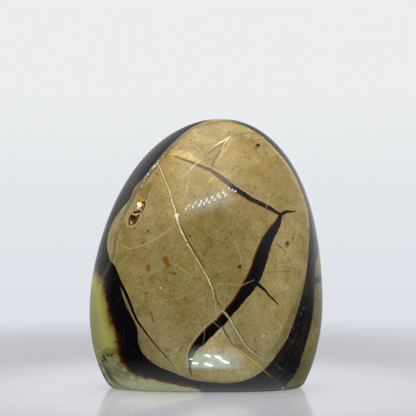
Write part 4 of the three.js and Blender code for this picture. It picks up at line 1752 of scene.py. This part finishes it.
# %% Soft lamps
PANEL_HEIGHT = 220
PANEL_TURN = math.radians(25)
PANEL_EDGE = Vector((-6, -160, PANEL_HEIGHT))  # the middle of its front edge
PANEL_WIDTH = 520
PANEL_DEPTH = 360
PANEL_RADIANCE = 2.3
FILL_SPOT = Vector((60, -130, 32))
FILL_AIM = Vector((15, -20, 12))
FILL_SIZE = (100, 24)
FILL_RADIANCE = 3.3


def area_lamp(name, spot, aim, size, radiance, turn=0.0):
    """A rectangular lamp that shines from spot towards aim. Neither camera nor reflection sees it."""
    data = bpy.data.lights.new(name, "AREA")
    data.shape = "RECTANGLE"
    data.size = size[0] * MM
    data.size_y = size[1] * MM
    data.energy = radiance * 4 * data.size * data.size_y
    lamp = linked(name, data)
    facing = (aim - spot).to_track_quat("-Z", "Y").to_matrix()
    lamp.matrix_world = Matrix.Translation(spot * MM) @ (facing @ Matrix.Rotation(turn, 3, "Z")).to_4x4()
    lamp.visible_camera = False
    lamp.visible_glossy = False
    return lamp


def add_panel():
    along = Vector((math.cos(PANEL_TURN), math.sin(PANEL_TURN), 0))
    back = Vector((-along.y, along.x, 0))
    middle = PANEL_EDGE + back * PANEL_DEPTH / 2
    size = (PANEL_WIDTH, PANEL_DEPTH)
    return area_lamp("panel", middle, middle + Vector((0, 0, -1)), size, PANEL_RADIANCE, PANEL_TURN)


panel = add_panel()
low_fill = area_lamp("low_fill", FILL_SPOT, FILL_AIM, FILL_SIZE, FILL_RADIANCE)
print("the panel gives", round(panel.data.energy, 2), "W")
print("the low fill gives", round(low_fill.data.energy, 3), "W")

# %% [markdown]
# To find where a lamp has to hang to show at a chosen place on the stone, a line of sight is mirrored off
# the polish, as a billiard ball off a cushion, and followed up to the lamps' height. Both ends of a dash
# are found in this way, and a long, thin lamp is laid between them.

# %% Lamps by their reflections
CROSS = 3  # pixels between the points from which the slope of the skin is taken


def mirrored(x, y, height):
    """Where the line of sight of pixel x, y reaches a height once the polish has mirrored it."""
    cross = [(x, y), (x + CROSS, y), (x - CROSS, y), (x, y - CROSS), (x, y + CROSS)]
    spot, right, left, high, low = [Vector(point) for point in seen(*cross)]
    outward = (right - left).cross(high - low).normalized()
    onward = sight_line(x, y).reflect(outward)
    return spot + onward * ((height - spot.z) / onward.z)


def streak_lamp(name, ends, width, radiance, height, colour):
    """A long lamp at a height, between the mirrored ends of its streak. Only reflections see it."""
    start, end = [mirrored(*pixel, height) for pixel in ends]
    run = end - start
    data = bpy.data.lights.new(name, "AREA")
    data.shape = "ELLIPSE"
    data.size = run.length * MM
    data.size_y = width * MM
    data.energy = radiance * math.pi * data.size * data.size_y
    data.color = colour
    lamp = linked(name, data)
    turn = Matrix.Rotation(math.atan2(run.y, run.x), 4, "Z")
    if height < stone_high[2]:
        turn = turn @ Matrix.Rotation(math.pi, 4, "X")  # a low lamp faces up
    lamp.matrix_world = Matrix.Translation((start + end) / 2 * MM) @ turn
    lamp.visible_camera = False
    lamp.visible_diffuse = False
    return lamp


print("a streak's slope is taken over", 2 * CROSS, "pixels")

# %% The row of dashes
DASHES = [  # the middle of each dash in the camera's view
    (185.8, 209.3), (192.8, 207.1), (199.2, 205.1), (204.5, 203.4), (209.5, 202.1), (214.6, 199.6),
    (219.5, 197.1), (225.1, 195.0), (188.9, 205.4), (195.8, 203.0), (201.2, 201.4), (206.9, 199.6),
    (212.2, 197.5), (217.7, 195.0), (223.4, 192.0),
]
DASH_HALF = (0.6, -1.9)  # from a dash's middle to its upper end
DASH_WIDTH = 2.0
DASH_RADIANCE = 18
DASH_COLOUR = paint("#e8f2ff")[:3]
TINY_DASHES = [(229.3, 188.3), (235.4, 191.1), (232.5, 189.8)]
TINY_DASH_HALF = (0.8, 0.3)
TINY_DASH_RADIANCE = 40
DASH_ROWS = [(DASHES, DASH_HALF, DASH_RADIANCE), (TINY_DASHES, TINY_DASH_HALF, TINY_DASH_RADIANCE)]

for middles, (aside, down), radiance in DASH_ROWS:
    for x, y in middles:
        ends = [(x - aside, y - down), (x + aside, y + down)]
        lamp = streak_lamp(f"dash_{x}_{y}", ends, DASH_WIDTH, radiance, PANEL_HEIGHT, DASH_COLOUR)
        print(lamp.name, "is", round(lamp.data.size / MM, 1), "mm long")

# %% [markdown]
# A few bright things low in front of the foot show in the bottom of the dome, as a milky patch with slanted
# streaks. They are lamps too, flat on the floor and facing up, each between the mirrored ends of its
# streak.

# %% Low glow
LOWEST_LAMP = 0.3  # the lamps lie over each other, each a little higher than the last
LAMP_STEP = 0.15
STREAKS = [  # the two ends in the camera's view, the width in millimetres and the radiance
    ((204.8, 354.3), (211, 357.4), 1.7, 13),
    ((215, 355.3), (222, 359.6), 2, 15),
    ((221, 359.8), (229, 363.6), 1.8, 15),
    ((191.5, 363), (199, 363.6), 1.7, 14),
    ((204, 363), (213, 366.2), 1.9, 13),
    ((190.9, 358.4), (191.2, 359.8), 1.6, 16),
]
STREAK_COLOUR = paint("#dcfaff")[:3]
SHEEN = 3.2  # each streak has a wider, fainter one round it
SHEEN_SHARE = 0.12

for index, (start, end, width, radiance) in enumerate(STREAKS):
    for part, (broader, share) in enumerate(((SHEEN, SHEEN_SHARE), (1, 1))):
        height = LOWEST_LAMP + (2 * index + part) * LAMP_STEP
        name = f"low_{index}_{part}"
        lamp = streak_lamp(name, (start, end), width * broader, radiance * share, height, STREAK_COLOUR)
    print("low lamp", index, "lies at", [round(place / MM, 1) for place in lamp.location])

# %% [markdown]
# ## The surroundings
# The surroundings are a world shader in three parts, told apart by the kind of ray. The camera sees a soft
# gradient of pale greys. Light that falls on the stone comes from a surround that is dim at the front left.
# What the polish mirrors is dark in front, pale behind and below, and bright above, up to the edge that
# crosses the face. A panorama of a room would give all three at once, but each of them could then not be
# set by itself.

# %% Directions
SKY = "#f5f7fb"
DIM_SIDE = (-0.62, -0.78, 0.0)
PANEL_SIDE = (-0.28, 0.69, 0.67)
HAZE_SIDE = (0.129, 0.649, 0.751)

world = bpy.data.worlds.new("surroundings")
world.use_nodes = True
tree = world.node_tree
tree.nodes.clear()
direction = tree.nodes.new("ShaderNodeTexCoord").outputs["Generated"]


def toward(*side):
    """How far a direction points to a side: 1 straight to it, 0 across it and -1 away from it."""
    dot = tree.nodes.new("ShaderNodeVectorMath")
    dot.operation = "DOT_PRODUCT"
    feed(tree, direction, dot.inputs[0])
    dot.inputs[1].default_value = side
    return dot.outputs["Value"]


def windowed(value, *edges):
    """Fades value in and out along directions. An edge is a direction, two amounts of it, and the share
    that is kept at each."""
    for along, low, high, start, end in edges:
        value = times(tree, value, eased(tree, along, low, high, start, end))
    return value


right, back, height = toward(1, 0, 0), toward(0, 1, 0), toward(0, 0, 1)
past_edge = toward(*PANEL_SIDE)
print("the sky's edge faces", PANEL_SIDE)

# %% What the polish mirrors: sides, ground and sky
BESIDE_RADIANCE = 0.44
GROUND_RADIANCE = 0.85
HAZE_RADIANCE = 0.9
SKY_RADIANCE = 1.9

behind = eased(tree, back, -0.3, 0.35, 0.02, 0.6)
shaded = times(tree, eased(tree, right, 0.3, 0.7), eased(tree, back, 0.05, 0.45, 0.8, 0.0))
behind = times(tree, behind, minus(tree, 1.0, shaded))
above_left = times(
    tree, eased(tree, height, 0.3, 0.6), eased(tree, right, -0.4, -0.2, 0.75, 0.0),
)
behind = times(tree, behind, plus(tree, 1.0, above_left))
at_the_side = windowed(BESIDE_RADIANCE, (right, 0.0, 0.7, 0, 1), (back, -1.0, -0.7, 0, 1))
sides = windowed(plus(tree, behind, at_the_side), (height, -0.2, 0.15, 0.22, 1.0))
ground = windowed(GROUND_RADIANCE, (height, -1.0, -0.55, 1, 0), (right, 0.4, 0.7, 1, 0.55))
haze = eased(tree, toward(*HAZE_SIDE), -0.08, 0.12, 0.0, HAZE_RADIANCE)
sky = sums(tree, "MAXIMUM", haze, eased(tree, past_edge, -0.01, 0.06, 0.0, SKY_RADIANCE))
sky = windowed(sky, (right, -0.45, -0.2, 0, 1), (right, 0.06, 0.32, 1, 0), (back, -0.1, 0.4, 1, 0))
sky = plus(tree, plus(tree, sides, ground), sky)
mirrored_sky = layered(tree, 1.0, sky, SKY, "MULTIPLY")
print("sides, ground and sky take", len(tree.nodes), "nodes")

# %% What the polish mirrors: milky patch and veil
MILK = "#e0fff4"
MILK_RADIANCE = 3.6
COOL = "#9bd6ff"
LOW_RADIANCE = 3.0
VEIL_RADIANCE = 2.6  # of the veil that hangs over the row of dashes

in_front = (back, -0.5, -0.3, 1, 0)
milk = windowed(
    MILK_RADIANCE, (height, -0.44, -0.62, 0, 1), (height, -0.77, -0.73, 0, 1), (right, -0.14, -0.08, 0, 1),
    (right, 0.06, 0.34, 1, 0), in_front,
)
low = windowed(
    LOW_RADIANCE, (height, -0.5, -0.66, 0, 1), (height, -0.8, -0.76, 0, 1), (right, -0.12, -0.03, 0, 1),
    (right, 0.08, 0.3, 1, 0), in_front,
)
veil = windowed(
    VEIL_RADIANCE, (past_edge, -0.13, -0.05, 0, 1), (past_edge, 0.0, 0.06, 1, 0),
    (right, -0.26, -0.12, 0, 1), (right, 0.06, 0.2, 1, 0), in_front,
)
for share, code in ((milk, MILK), (plus(tree, low, veil), COOL)):
    shine = layered(tree, 1.0, share, code, "MULTIPLY")
    mirrored_sky = layered(tree, 1.0, mirrored_sky, shine, "ADD")
print("with the patch and the veil there are", len(tree.nodes), "nodes")

# %% The world
BACKDROP = [(0.15, "#dbdee5"), (0.55, "#e1e4e9"), (0.95, "#ebeded")]  # from below to above
BACKDROP_SPREAD = 3.0  # the level of the eye is the middle of the backdrop, and this sets how steep it is


def glow(colour, strength=1.0):
    background = tree.nodes.new("ShaderNodeBackground")
    feed(tree, colour, background.inputs["Color"])
    feed(tree, strength, background.inputs["Strength"])
    return background.outputs[0]


def chosen(share, first, second):
    mix = tree.nodes.new("ShaderNodeMixShader")
    for value, socket in zip((share, first, second), mix.inputs):
        feed(tree, value, socket)
    return mix.outputs[0]


falling = eased(tree, toward(*DIM_SIDE), -0.2, 0.8, 0.75, 0.2)
backdrop = graded(tree, times_plus(tree, height, BACKDROP_SPREAD, 0.5), BACKDROP)
rays = tree.nodes.new("ShaderNodeLightPath").outputs
light = chosen(rays["Is Glossy Ray"], glow(SKY, falling), glow(mirrored_sky))
surroundings = chosen(rays["Is Camera Ray"], light, glow(backdrop))
tree.links.new(surroundings, tree.nodes.new("ShaderNodeOutputWorld").inputs[0])
bpy.context.scene.world = world
bpy.context.scene.view_settings.view_transform = "Standard"
print("the surroundings have", len(tree.nodes), "nodes")
